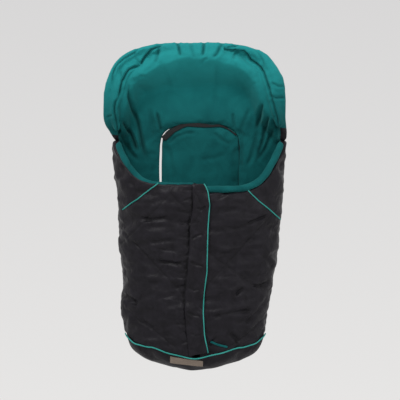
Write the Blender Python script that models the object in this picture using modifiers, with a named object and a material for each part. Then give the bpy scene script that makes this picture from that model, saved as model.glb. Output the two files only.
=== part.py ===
# Stroller footmuff, hanging upright: +Z up, front towards -Y. The origin is on the flat rear of its back.
import math

import bmesh
import bpy
from mathutils import Matrix, Vector

MM = 0.001
WELD = 0.001 * MM
SLOPE_STEP = 0.0001

# Heights are measured from the foot; the origin is this far above it.
ORIGIN_Z = 300 * MM

# Outline seen from the front.
LEFT_TOP_X = -204 * MM
LEFT_FOOT_X = -174 * MM
RIGHT_TOP_X = 215 * MM
RIGHT_FOOT_X = 166 * MM
SIDE_TOP_Z = 555 * MM
SIDE_FOOT_Z = 85 * MM
BACK_TOP_Z = 630 * MM
BACK_TOP_HALF = 137 * MM
BACK_ARCH_POWER = 2.8
FOOT_SAG = 40 * MM
FOOT_ROUND = 45 * MM
FOOT_SAG_POWER = 1.3
FOOT_ROUND_POWER = 10

# Layers of the padded panels, from the outside in.
OUTER = 1.5 * MM
WADDING = 10 * MM
TOE_WADDING = 5 * MM
LINING = 3 * MM
GAP = 0.3 * MM
LAYER_ROOM = 0.7 * MM
SEAM_CLEARANCE = 2.8 * MM

# Bag: how far its front stands from the back panel's face, and the power of its plan curve.
DEPTH_TOP = 118 * MM
DEPTH_FOOT = 96 * MM
PLAN_POWER = 2.4
SIDE_WALL = 6 * MM
SIDE_WALL_SHARE = 0.06

# Rim of the opening and the seam of the toe.
LEFT_RIM_Z = 436 * MM
RIGHT_RIM_Z = 426 * MM
RIM_POWER = 6
TOE_SEAM_Z = 30 * MM
TOE_SEAM_RISE = 26 * MM
TOE_SEAM_EDGE_RISE = 34 * MM
TOE_SEAM_SHARE = 0.6
TOE_SEAM_POWER = 1.3
TOE_SEAM_EDGE_POWER = 8
TOE_REACH_SHARE = 0.985
TOE_INNER_REACH_SHARE = 0.95
TOE_INNER_RISE_SHARE = 0.94
TOE_FLAT_SHARE = 0.2
TOE_ROOM = 1.2 * MM

# Shoulder seams, which run from the rim down to the side.
SHOULDER_SIDE_Z = 385 * MM
SHOULDER_RIM_SHARE = 0.52
SHOULDER_LAST_SHARE = 0.42

# Zip.
ZIP_TOP_X = 7 * MM
ZIP_FOOT_X = -4 * MM
ZIP_TOP_Z = 430 * MM
ZIP_FOOT_Z = 52 * MM
FRONT_EDGE = 6 * MM
LINING_ROOM = 1 * MM
TAPE_WIDTH = 14 * MM
TAPE_THICK = 1 * MM
TOOTH_PITCH = 4 * MM
TOOTH_ROOT = 1.5 * MM
TOOTH_REACH = 2.6 * MM
TOOTH_NECK = 1.1 * MM
TOOTH_HEAD = 1.4 * MM
TOOTH_THICK = 3 * MM
SLIDER_LENGTH = 12 * MM
SLIDER_WIDTH = 10.5 * MM
SLIDER_PLATE = 1 * MM
SLIDER_ROOM = 0.4 * MM
EYE_ROOM = 1.6 * MM
BOX_THICK = 1.1 * MM
SLIDER_DROP_SHARE = 0.35
SLIDER_WAIST_SHARE = 0.72
SLIDER_HIP_SHARE = 0.85
WEDGE_SHARE = 0.45
BRIDGE_RISE = 2.8 * MM
BRIDGE_START = 2.5 * MM
BRIDGE_LENGTH = 7 * MM
BRIDGE_WIDTH = 2.4 * MM
BRIDGE_BAR = 0.9 * MM
PULLER_LENGTH = 28 * MM
PULLER_PIN = 1.6 * MM
PULLER_BAR = 1.2 * MM
PULLER_WIDTH = 7 * MM
PULLER_THICK = 0.9 * MM
STOP_LENGTH = 4 * MM
STOP_WIDTH = 2 * MM
BOX_LENGTH = 7 * MM
BOX_WIDTH = 9 * MM

# Cover strip over the zip.
COVER_SEAM = 20 * MM
COVER_REACH = 26 * MM
COVER_SEAM_WIDTH = 5 * MM
COVER_THICK = 1.6 * MM
COVER_RISE = 2.9 * MM
COVER_TOP_SPARE = 20 * MM
COVER_FOOT_SPARE = 4 * MM

# Trims.
PIPING_RADIUS = 1.7 * MM
ROLL_RADIUS = 7.2 * MM
LEFT_ROLL_RADIUS = 6.4 * MM
ROLL_ROOM = 0.8 * MM
LEFT_OUTER_RISE = 10 * MM
ROLL_SIDE_SHARE = 0.2
ROLL_ZIP_SHARE = 0.015
PIPING_SIDE_SHARE = 0.2
PIPING_RIM_SHARE = 0.03
TOE_PIPING_SHARE = 0.96
LABEL_HALF = 40 * MM
LABEL_X = -25 * MM
LABEL_THICK = 0.8 * MM
LABEL_ROOM = 0.9 * MM
LABEL_LOW_SHARE = 0.55
LABEL_HIGH_SHARE = 0.86
LABEL_SLANT_SHARE = 0.02

# Faces across and up in the grids of the soft layers.
FRONT_GRID = (14, 9)
SHOULDER_GRID = (8, 4)
TOE_GRID = (26, 5)
LABEL_GRID = (8, 4)
BASE_GRID = (4, 4)
HEM_GRID_ROWS = 9

# Harness flap: an upside-down U cut through the back.
SLOT_LEFT_X = -91 * MM
SLOT_RIGHT_X = 103 * MM
SLOT_FOOT_Z = 410 * MM
SLOT_SIDE_Z = 545 * MM
SLOT_TOP_Z = 597 * MM
SLOT_LEFT_GAP = 8 * MM
SLOT_RIGHT_GAP = 1 * MM
SLOT_TOP_GAP = 1 * MM
ARCH_POWER = 2.8
HOOK_TAPE_WIDTH = 9 * MM
HOOK_TAPE_THICK = 1.5 * MM

# Hood.
HOOD_X = -6 * MM
HOOD_HALF = 219 * MM
HOOD_WAIST_Z = 606 * MM
HOOD_RISE = 181 * MM
HOOD_FALL = 112 * MM
HOOD_POWER = 3.3
HOOD_LEAN = 31 * MM
HOOD_TAPER = 15 * MM
HOOD_START = math.radians(-14)
HOOD_WALL = 76 * MM
HOOD_END_WALL = 36 * MM
HOOD_WALL_POWER = 0.8
HOOD_TURN = math.radians(100)
HOOD_FLAT_SHARE = 0.4
HOOD_COLUMNS = 24
HOOD_ROWS = 10
HOOD_BACK_SHARE = 0.85
SHOULDER_DROP = 5 * MM
HEM_LEG = 11 * MM
HEM_THICK = 0.9 * MM
HEM_STEP = 0.01
HEM_ROOM = 1.6 * MM
ELASTIC_RADIUS = 2.2 * MM
ELASTIC_SPARE = 2 * MM

# Straps behind the hood, round a rail.
RAIL_RADIUS = 28 * MM
RAIL_Y = 34 * MM
RAIL_Z = 736 * MM
STRAP_X = 62 * MM
STRAP_WIDTH = 25 * MM
STRAP_THICK = 1.6 * MM
STRAP_SPARE = 1.5 * MM
STRAP_ROOM = 0.8 * MM
STRAP_START = 1.6 * MM
STRAP_WRAP_START = math.radians(108)
STRAP_WRAP_END = math.radians(-105)
STRAP_BASE_Z = 738 * MM
STRAP_HINGE_Z = 762 * MM
PATCH_TOP_Z = 697 * MM
PATCH_FOOT_Z = 657 * MM
PATCH_THICK = 1.5 * MM

BACK_STACK = OUTER + WADDING + LINING + 2 * GAP
BAG_Y = -(BACK_STACK + GAP)
FRONT_STACK = OUTER + WADDING + LINING + 2 * LAYER_ROOM
NYLON = (0.021, 0.021, 0.026)
FLEECE = (0.012, 0.175, 0.178)
WHITE = (0.8, 0.8, 0.78)
STEEL = (0.5, 0.5, 0.52)
TAUPE = (0.28, 0.22, 0.18)
TAPE_BLACK = (0.012, 0.012, 0.014)


def make_material(name, color, roughness, metallic=0.0):
    material = bpy.data.materials.get(name)
    if material is None:
        material = bpy.data.materials.new(name)
        material.use_nodes = True
        shader = material.node_tree.nodes["Principled BSDF"]
        shader.inputs["Base Color"].default_value = (*color, 1.0)
        shader.inputs["Roughness"].default_value = roughness
        shader.inputs["Metallic"].default_value = metallic
    return material


def nylon():
    return make_material("quilted_nylon", NYLON, 0.55)


def fleece():
    return make_material("fleece", FLEECE, 0.95)


def wool():
    return make_material("wadding", WHITE, 0.95)


def tape():
    return make_material("woven_tape", TAPE_BLACK, 0.8)


def moulded():
    return make_material("moulded_plastic", TAPE_BLACK, 0.4)


def metal():
    return make_material("zip_metal", STEEL, 0.35, 1.0)


def woven_label():
    return make_material("woven_label", TAUPE, 0.85)


def start_scene():
    for old in list(bpy.data.objects):
        bpy.data.objects.remove(old)
    parts = bpy.data.collections.new("stroller_footmuff")
    bpy.context.scene.collection.children.link(parts)
    cutters = bpy.data.collections.new("cutters")
    bpy.context.scene.collection.children.link(cutters)
    return parts, cutters


PARTS, CUTTERS = start_scene()
HOME = Matrix.Translation((0, 0, -ORIGIN_Z))


def keep(name, data, material, matrix=None):
    """Without a material the object is a cutter, which the parts only refer to."""
    thing = bpy.data.objects.new(name, data)
    thing.matrix_world = HOME if matrix is None else HOME @ matrix
    if material is None:
        CUTTERS.objects.link(thing)
        thing.hide_render = True
        thing.display_type = "WIRE"
    else:
        PARTS.objects.link(thing)
        data.materials.append(material)
    return thing


# Shapes of the bag, worked out from the sizes above.
def between(low, high, share):
    return low + (high - low) * share


def height_share(z):
    return (z - SIDE_FOOT_Z) / (SIDE_TOP_Z - SIDE_FOOT_Z)


def side_x(side, z):
    if side < 0:
        return between(LEFT_FOOT_X, LEFT_TOP_X, height_share(z))
    return between(RIGHT_FOOT_X, RIGHT_TOP_X, height_share(z))


def zip_x(z):
    return between(ZIP_FOOT_X, ZIP_TOP_X, (z - ZIP_FOOT_Z) / (ZIP_TOP_Z - ZIP_FOOT_Z))


def depth(z):
    return between(DEPTH_FOOT, DEPTH_TOP, (z - ZIP_FOOT_Z) / (ZIP_TOP_Z - ZIP_FOOT_Z))


def plan_depth(reach):
    return (1 - min(1.0, abs(reach)) ** PLAN_POWER) ** (1 / PLAN_POWER)


def stand_out(reach, z):
    return between(SIDE_WALL, depth(z), plan_depth(reach))


def foot_z(reach):
    return FOOT_SAG * reach**FOOT_SAG_POWER + FOOT_ROUND * reach**FOOT_ROUND_POWER


def toe_seam_z(reach):
    rise = TOE_SEAM_RISE * min(1.0, reach / TOE_SEAM_SHARE) ** TOE_SEAM_POWER
    return TOE_SEAM_Z + rise + TOE_SEAM_EDGE_RISE * reach**TOE_SEAM_EDGE_POWER


def rim_z(side, reach):
    low = LEFT_RIM_Z if side < 0 else RIGHT_RIM_Z
    return low + (SIDE_TOP_Z - low) * reach**RIM_POWER


def shoulder_z(side, reach):
    at_rim = rim_z(side, SHOULDER_RIM_SHARE)
    share = (reach - SHOULDER_RIM_SHARE) / (1 - SHOULDER_RIM_SHARE)
    return between(at_rim, SHOULDER_SIDE_Z, share)


def plan_reach(side, share, z, edge):
    bare = max(0.0, math.cos(share * math.pi / 2)) ** (2 / PLAN_POWER)
    rest = edge / abs(side_x(side, z) - zip_x(z))
    return rest + (1 - rest) * bare


def front_surface(side, low, high, edge, first=0.0, last=1.0):
    def point(u, v):
        share = between(first, last, u)
        turn = max(0.0, share - SIDE_WALL_SHARE) / (1 - SIDE_WALL_SHARE)
        middle = plan_reach(side, turn, (ZIP_TOP_Z + ZIP_FOOT_Z) / 2, edge)
        z = between(low(middle), high(middle), v)
        reach = plan_reach(side, turn, z, edge)
        out = stand_out(reach, z) if turn else SIDE_WALL * share / SIDE_WALL_SHARE
        return Vector((between(zip_x(z), side_x(side, z), reach), BAG_Y - out, z))

    return point


def toe_surface(reach_share):
    def point(u, v):
        turn = math.cos(u * math.pi)
        side = -1 if turn > 0 else 1
        reach = abs(turn) ** (2 / PLAN_POWER) * reach_share
        top = toe_seam_z(reach)
        low = foot_z(reach)
        radius = top - low
        far = stand_out(reach, top)
        x = between(zip_x(top), side_x(side, SIDE_FOOT_Z), reach)
        if v < TOE_FLAT_SHARE:
            return Vector((x, BAG_Y - (far - radius) * v / TOE_FLAT_SHARE, low))
        angle = (v - TOE_FLAT_SHARE) / (1 - TOE_FLAT_SHARE) * math.pi / 2
        out = far - radius + radius * math.sin(angle)
        return Vector((x, BAG_Y - out, low + radius * (1 - math.cos(angle))))

    return point


def rounded(turn, power):
    """Across and up on a superellipse of that power, from -1 to 1."""
    across, up = math.cos(turn), math.sin(turn)
    return tuple(math.copysign(abs(a) ** (2 / power), a) for a in (across, up))


def hood_outline(turn):
    across, up = rounded(turn, HOOD_POWER)
    rise = HOOD_RISE if up > 0 else HOOD_FALL
    below = max(0.0, -up)
    x = HOOD_X + HOOD_LEAN * below + (HOOD_HALF - HOOD_TAPER * below) * across
    return Vector((x, 0, HOOD_WAIST_Z + rise * up))


def hood_surface(u, v):
    rim = hood_outline(between(math.pi - HOOD_START, HOOD_START, u))
    across, up = rounded(math.pi * (1 - u), BACK_ARCH_POWER)
    low = hood_outline(HOOD_START).z
    base = Vector((BACK_TOP_HALF * across, 0, between(low, BACK_TOP_Z, up)))
    way = (rim - base).normalized()
    wall = between(HOOD_END_WALL, HOOD_WALL, max(0.0, math.sin(u * math.pi)) ** HOOD_WALL_POWER)
    flat = (rim - base).length - wall
    if v < HOOD_FLAT_SHARE:
        return base + way * flat * v / HOOD_FLAT_SHARE
    angle = (v - HOOD_FLAT_SHARE) / (1 - HOOD_FLAT_SHARE) * HOOD_TURN
    point = base + way * (flat + wall * math.sin(angle))
    point.y -= wall * (1 - math.cos(angle))
    return point


def slopes(surface, u, v, step=SLOPE_STEP):
    low_u, high_u = max(0.0, u - step), min(1.0, u + step)
    low_v, high_v = max(0.0, v - step), min(1.0, v + step)
    along = (surface(high_u, v) - surface(low_u, v)).normalized()
    across = (surface(u, high_v) - surface(u, low_v)).normalized()
    return along, across, along.cross(across).normalized()


def lifted(surface, rise):
    return lambda u, v: surface(u, v) + slopes(surface, u, v)[2] * rise


def spread(count, low=0.0, high=1.0):
    return [between(low, high, i / (count - 1)) for i in range(count)]


# Makers.
def sheet(name, surface, faces, inset, thick, material):
    """A layer: a grid laid on the surface, moved in by inset, with a wall of thick."""
    data = bpy.data.meshes.new(name)
    grid = bmesh.new()
    bmesh.ops.create_grid(grid, x_segments=faces[0], y_segments=faces[1], size=1)
    for vert in grid.verts:
        vert.co = surface((vert.co.x + 1) / 2, (vert.co.y + 1) / 2)
    grid.to_mesh(data)
    grid.free()
    data.shade_smooth()
    layer = keep(name, data, material)
    if inset:
        move = layer.modifiers.new("inset", "DISPLACE")
        move.mid_level = 0
        move.strength = -inset
    wall = layer.modifiers.new("wall", "SOLIDIFY")
    wall.thickness = thick
    wall.offset = -1
    wall.use_even_offset = True
    return layer


def tube(name, points, radius, material, sides=2):
    data = bpy.data.curves.new(name, "CURVE")
    data.dimensions = "3D"
    data.bevel_depth = radius
    data.bevel_resolution = sides
    data.use_fill_caps = True
    spline = data.splines.new("POLY")
    spline.points.add(len(points) - 1)
    for i, point in enumerate(points):
        spline.points[i].co = (*point, 1)
        spline.points[i].radius = 1
    spline.use_smooth = True
    return keep(name, data, material)


def plate(name, outlines, thick, matrix, material):
    """A flat outline, with any holes after it, as thick as said and centred on its plane."""
    data = bpy.data.curves.new(name, "CURVE")
    data.dimensions = "2D"
    data.fill_mode = "BOTH"
    data.extrude = thick / 2
    for outline in outlines:
        spline = data.splines.new("POLY")
        spline.points.add(len(outline) - 1)
        for i, (x, y) in enumerate(outline):
            spline.points[i].co = (x, y, 0, 1)
        spline.use_cyclic_u = True
    return keep(name, data, material, matrix)


def meshed(thing):
    """The curve object made a mesh object, its caps welded."""
    graph = bpy.context.evaluated_depsgraph_get()
    data = bpy.data.meshes.new_from_object(thing.evaluated_get(graph))
    weld = bmesh.new()
    weld.from_mesh(data)
    bmesh.ops.remove_doubles(weld, verts=weld.verts, dist=WELD)
    weld.to_mesh(data)
    weld.free()
    name, old = thing.name, thing.data
    material = old.materials[0] if old.materials else None
    matrix = HOME.inverted() @ thing.matrix_world
    bpy.data.objects.remove(thing)
    bpy.data.curves.remove(old)
    data.materials.clear()
    return keep(name, data, material, matrix)


def box(name, low, high, matrix, material):
    data = bpy.data.meshes.new(name)
    shape = bmesh.new()
    bmesh.ops.create_cube(shape, size=1)
    for vert in shape.verts:
        vert.co = Vector(between(low[i], high[i], vert.co[i] + 0.5) for i in range(3))
    shape.to_mesh(data)
    shape.free()
    return keep(name, data, material, matrix)


def combine(thing, other, operation):
    step = thing.modifiers.new(other.name, "BOOLEAN")
    step.operation = operation
    step.object = other
    step.solver = "EXACT"


# Planes for the flat outlines: x stays, the outline's second axis runs up.
def upright(y):
    return Matrix(((1, 0, 0, 0), (0, 0, -1, y), (0, 1, 0, 0), (0, 0, 0, 1)))


def zip_plane():
    """Origin at the zip's foot; x to the right, y up along the zip, z out of the front."""
    foot = Vector((zip_x(ZIP_FOOT_Z), BAG_Y - depth(ZIP_FOOT_Z), ZIP_FOOT_Z))
    top = Vector((zip_x(ZIP_TOP_Z), BAG_Y - depth(ZIP_TOP_Z), ZIP_TOP_Z))
    up = (top - foot).normalized()
    right = Vector((1, 0, 0))
    right = (right - up * right.dot(up)).normalized()
    out = right.cross(up)
    place = Matrix((right, up, out)).transposed().to_4x4()
    place.translation = foot
    return place, (top - foot).length


ZIP_PLACE, ZIP_LENGTH = zip_plane()


# Back panel, with the cut for the harness.
def back_outline(drop):
    points = []
    for side in (-1, 1):
        reaches = spread(9, 1.0, 0.0) if side < 0 else spread(9)[1:]
        for reach in reaches:
            x = between(ZIP_FOOT_X, side_x(side, SIDE_FOOT_Z), reach)
            points.append((x, foot_z(reach)))
    low = hood_outline(HOOD_START).z - 2 * GAP - drop
    points.append((side_x(1, low), low))
    for turn in spread(HOOD_COLUMNS + 1, 0.0, math.pi):
        across, up = rounded(turn, BACK_ARCH_POWER)
        top = BACK_TOP_Z - 3 * GAP
        points.append(((BACK_TOP_HALF - 3 * GAP) * across, between(low, top, up)))
    points.append((side_x(-1, low), low))
    return points


def arch(left, right, foot, side, top, count=13):
    middle, half = (left + right) / 2, (right - left) / 2
    points = [(left, foot)]
    for turn in spread(count, math.pi, 0.0):
        across, up = rounded(turn, ARCH_POWER)
        points.append((middle + half * across, side + (top - side) * up))
    points.append((right, foot))
    return points


def wider_arch(more):
    left, right = SLOT_LEFT_X - more, SLOT_RIGHT_X + more
    return arch(left, right, SLOT_FOOT_Z, SLOT_SIDE_Z, SLOT_TOP_Z + more)


def make_back():
    """The outer layer is cut wider over the arch, where the loop tape fills it flush."""
    slot = wider_arch(0.0)
    step = SLOT_SIDE_Z - GAP
    rise = [(x, step) for x in (SLOT_LEFT_X, SLOT_LEFT_X - HOOK_TAPE_WIDTH - GAP)]
    fall = [(x, step) for x in (SLOT_RIGHT_X + HOOK_TAPE_WIDTH + GAP, SLOT_RIGHT_X)]
    wide_slot = slot[:1] + rise + wider_arch(HOOK_TAPE_WIDTH + GAP)[1:-1] + fall + slot[-1:]
    flap = arch(
        SLOT_LEFT_X + SLOT_LEFT_GAP,
        SLOT_RIGHT_X - SLOT_RIGHT_GAP,
        SLOT_FOOT_Z + GAP,
        SLOT_SIDE_Z - SLOT_TOP_GAP,
        SLOT_TOP_Z - SLOT_TOP_GAP,
    )
    layers = (
        ("outer", OUTER, nylon),
        ("wadding", WADDING, wool),
        ("lining", LINING, fleece),
    )
    y = 0
    for name, thick, finish in layers:
        first = name == "outer"
        drop = 0.0 if first else SHOULDER_DROP
        cut = wide_slot if first else slot
        plate("back_" + name, [back_outline(drop), cut], thick, upright(y - thick / 2), finish())
        plate("flap_" + name, [flap], thick, upright(y - thick / 2), finish())
        y -= thick + GAP
    top = flap[1:-1]
    left = SLOT_LEFT_X + SLOT_LEFT_GAP
    right = SLOT_RIGHT_X - SLOT_RIGHT_GAP
    band = top + arch(
        left + HOOK_TAPE_WIDTH,
        right - HOOK_TAPE_WIDTH,
        SLOT_FOOT_Z,
        SLOT_SIDE_Z - SLOT_TOP_GAP,
        SLOT_TOP_Z - SLOT_TOP_GAP - HOOK_TAPE_WIDTH,
    )[1:-1][::-1]
    front = y - HOOK_TAPE_THICK / 2
    plate("flap_hook_tape", [band], HOOK_TAPE_THICK, upright(front), tape())
    loop = wider_arch(HOOK_TAPE_WIDTH)[1:-1] + slot[1:-1][::-1]
    plate("back_loop_tape", [loop], OUTER, upright(-OUTER / 2), tape())


# Padded fronts, left and right of the zip.
def make_front(side, word):
    edge_wadding = TAPE_WIDTH + GAP
    edge_lining = FRONT_EDGE + LINING_ROOM
    seam_low = lambda reach: toe_seam_z(reach) + SEAM_CLEARANCE
    outer_rise = LEFT_OUTER_RISE if side < 0 else 0.0
    rim = lambda reach: rim_z(side, reach)
    outer_rim = lambda reach: rim(reach) + outer_rise * (1 - reach**RIM_POWER)
    main_top = lambda reach: min(outer_rim(reach), shoulder_z(side, reach) - GAP)
    flip = side < 0

    def laid(surface):
        """Columns run so that the faces point out of the bag."""
        return surface if flip else (lambda u, v: surface(1 - u, v))

    outer = front_surface(side, seam_low, main_top, FRONT_EDGE)
    sheet(word + "_outer", laid(outer), FRONT_GRID, 0.0, OUTER, nylon())
    shoulder_low = lambda reach: shoulder_z(side, reach) + GAP
    shoulder = front_surface(
        side, shoulder_low, outer_rim, FRONT_EDGE, 0.0, SHOULDER_LAST_SHARE
    )
    sheet(word + "_shoulder", laid(shoulder), SHOULDER_GRID, 0.0, OUTER, nylon())
    padded = front_surface(side, seam_low, rim, edge_wadding)
    deep = OUTER + LAYER_ROOM
    sheet(word + "_wadding", laid(padded), FRONT_GRID, deep, WADDING, wool())
    inside = front_surface(side, seam_low, rim, edge_lining)
    deep += WADDING + LAYER_ROOM
    sheet(word + "_lining", laid(inside), FRONT_GRID, deep, LINING, fleece())

    # The roll of fleece that binds the rim.
    rolled = laid(front_surface(side, seam_low, rim, edge_lining))
    radius = LEFT_ROLL_RADIUS if side < 0 else ROLL_RADIUS
    cover = OUTER + LAYER_ROOM + radius if side < 0 else FRONT_STACK / 2
    shares = spread(22, ROLL_SIDE_SHARE, 1 - ROLL_ZIP_SHARE)
    shares = shares if flip else [1 - share for share in reversed(shares)]
    points = []
    for u in shares:
        along, across, out = slopes(rolled, u, 1.0)
        away = out.cross(along).normalized()
        points.append(rolled(u, 1.0) - out * cover + away * (radius + ROLL_ROOM))
    tube(word + "_rim_roll", points, radius, fleece())

    # The piping of the shoulder seam.
    seam = laid(
        front_surface(
            side,
            lambda reach: shoulder_z(side, reach),
            outer_rim,
            FRONT_EDGE,
            0.0,
            SHOULDER_LAST_SHARE,
        )
    )
    ends = spread(12, PIPING_SIDE_SHARE, 1 - PIPING_RIM_SHARE)
    ends = ends if flip else [1 - share for share in reversed(ends)]
    piping = [lifted(seam, PIPING_RADIUS + GAP)(u, 0.0) for u in ends]
    tube(word + "_shoulder_piping", piping, PIPING_RADIUS, fleece(), 1)


# Toe cap.
def make_toe():
    outer = toe_surface(TOE_REACH_SHARE)
    whole = toe_surface(TOE_INNER_REACH_SHARE)
    inner = lambda u, v: whole(u, v * TOE_INNER_RISE_SHARE)
    sheet("toe_outer", outer, TOE_GRID, 0.0, OUTER, nylon())
    deep = OUTER + TOE_ROOM
    sheet("toe_wadding", inner, TOE_GRID, deep, TOE_WADDING, wool())
    sheet("toe_lining", inner, TOE_GRID, deep + TOE_WADDING + GAP, LINING, fleece())
    rise = PIPING_RADIUS + GAP
    spots = spread(30, 1 - TOE_PIPING_SHARE, TOE_PIPING_SHARE)
    points = [lifted(outer, rise)(u, TOE_PIPING_SHARE) for u in spots]
    tube("toe_piping", points, PIPING_RADIUS, fleece(), 1)
    spots = spread(400)
    left = min(spots, key=lambda u: abs(outer(u, 1).x - LABEL_X + LABEL_HALF))
    right = min(spots, key=lambda u: abs(outer(u, 1).x - LABEL_X - LABEL_HALF))
    raised = lifted(outer, LABEL_THICK + LABEL_ROOM)

    def patch(u, v):
        high = between(LABEL_HIGH_SHARE, LABEL_HIGH_SHARE - LABEL_SLANT_SHARE, u)
        return raised(between(left, right, u), between(LABEL_LOW_SHARE, high, v))

    sheet("label", patch, LABEL_GRID, 0.0, LABEL_THICK, woven_label())


# Hood.
def make_hood():
    around = lambda u, v: hood_surface(1 - u, v)
    grid = (HOOD_COLUMNS, HOOD_ROWS)
    sheet("hood_outer", around, grid, 0.0, OUTER, nylon())
    sheet("hood_wadding", around, grid, OUTER + GAP, WADDING, wool())
    sheet("hood_lining", around, grid, OUTER + WADDING + 2 * GAP, LINING, fleece())
    half = BACK_STACK / 2 + HEM_ROOM + HEM_THICK
    turn = HEM_LEG / (2 * HEM_LEG + math.pi * half)

    def hem(u, w):
        """The hem's section: a leg outside, a half round beyond the edge, a leg inside."""
        back = max(0.0, 1 - min(w, 1 - w) / turn)
        rate = (around(u, 1.0) - around(u, 1.0 - HEM_STEP)).length / HEM_STEP
        v = 1 - HEM_LEG * back / rate
        along, across, out = slopes(around, u, v)
        middle = around(u, v) - out * BACK_STACK / 2
        angle = min(1.0, max(0.0, (w - turn) / (1 - 2 * turn))) * math.pi
        return middle + out * half * math.cos(angle) + across * half * math.sin(angle)

    first, last = 1 / HOOD_COLUMNS, 1 - 1 / HOOD_COLUMNS
    edge = lambda u, w: hem(between(first, last, u), w)
    sheet("hood_hem", edge, (HOOD_COLUMNS - 2, HEM_GRID_ROWS), 0.0, HEM_THICK, fleece())
    points = []
    for u in spread(HOOD_COLUMNS - 1, first, last):
        along, across, out = slopes(around, u, 1.0)
        middle = around(u, 1.0) - out * BACK_STACK / 2
        points.append(middle + across * (ELASTIC_RADIUS + ELASTIC_SPARE))
    tube("hood_elastic", points, ELASTIC_RADIUS, tape(), 1)


# Zip: tape, bead and teeth of one side are one moulding.
def comb(side):
    """Half a zip in its own plane, the teeth towards x = 0, shifted half a pitch on the right."""
    inner = TOOTH_ROOT
    first = BOX_LENGTH + STOP_LENGTH / 2 + (TOOTH_PITCH / 2 if side > 0 else 0.0)
    count = int((ZIP_LENGTH - first - SLIDER_LENGTH - STOP_LENGTH) / TOOTH_PITCH)
    tip = inner - TOOTH_REACH
    points = [(TAPE_WIDTH, 0.0), (TAPE_WIDTH, ZIP_LENGTH), (inner, ZIP_LENGTH)]
    for i in reversed(range(count)):
        y = first + i * TOOTH_PITCH
        points += [
            (inner, y + TOOTH_NECK / 2),
            (tip, y + TOOTH_HEAD / 2),
            (tip, y - TOOTH_HEAD / 2),
            (inner, y - TOOTH_NECK / 2),
        ]
    points.append((inner, 0.0))
    return [(side * x, y) for x, y in points], first + (count - 1) * TOOTH_PITCH


def on_zip(z, y=0.0):
    return ZIP_PLACE @ Matrix.Translation((0, y, z))


TAPE_Z = -(OUTER + GAP + TAPE_THICK / 2)


def make_zip():
    last = max(comb(side)[1] for side in (-1, 1))
    for side, word in ((-1, "left"), (1, "right")):
        outline, _ = comb(side)
        plate("zip_tape_" + word, [outline], TAPE_THICK, on_zip(TAPE_Z), tape())
        low = side * (TOOTH_ROOT + GAP)
        span = sorted((low, low + side * STOP_WIDTH))
        y = last + (1 - SLIDER_DROP_SHARE) * SLIDER_LENGTH + GAP
        box(
            "top_stop_" + word,
            (span[0], y, TAPE_THICK / 2 + GAP),
            (span[1], y + STOP_LENGTH, TOOTH_THICK / 2 + GAP),
            on_zip(TAPE_Z),
            moulded(),
        )
    half = BOX_WIDTH / 2
    rise = TAPE_THICK / 2 + GAP
    box(
        "zip_box",
        (-half, GAP, rise),
        (-GAP, BOX_LENGTH, rise + BOX_THICK),
        on_zip(TAPE_Z),
        moulded(),
    )
    box(
        "zip_pin",
        (GAP, GAP, rise),
        (half, BOX_LENGTH, rise + BOX_THICK),
        on_zip(TAPE_Z),
        moulded(),
    )
    return last


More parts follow.
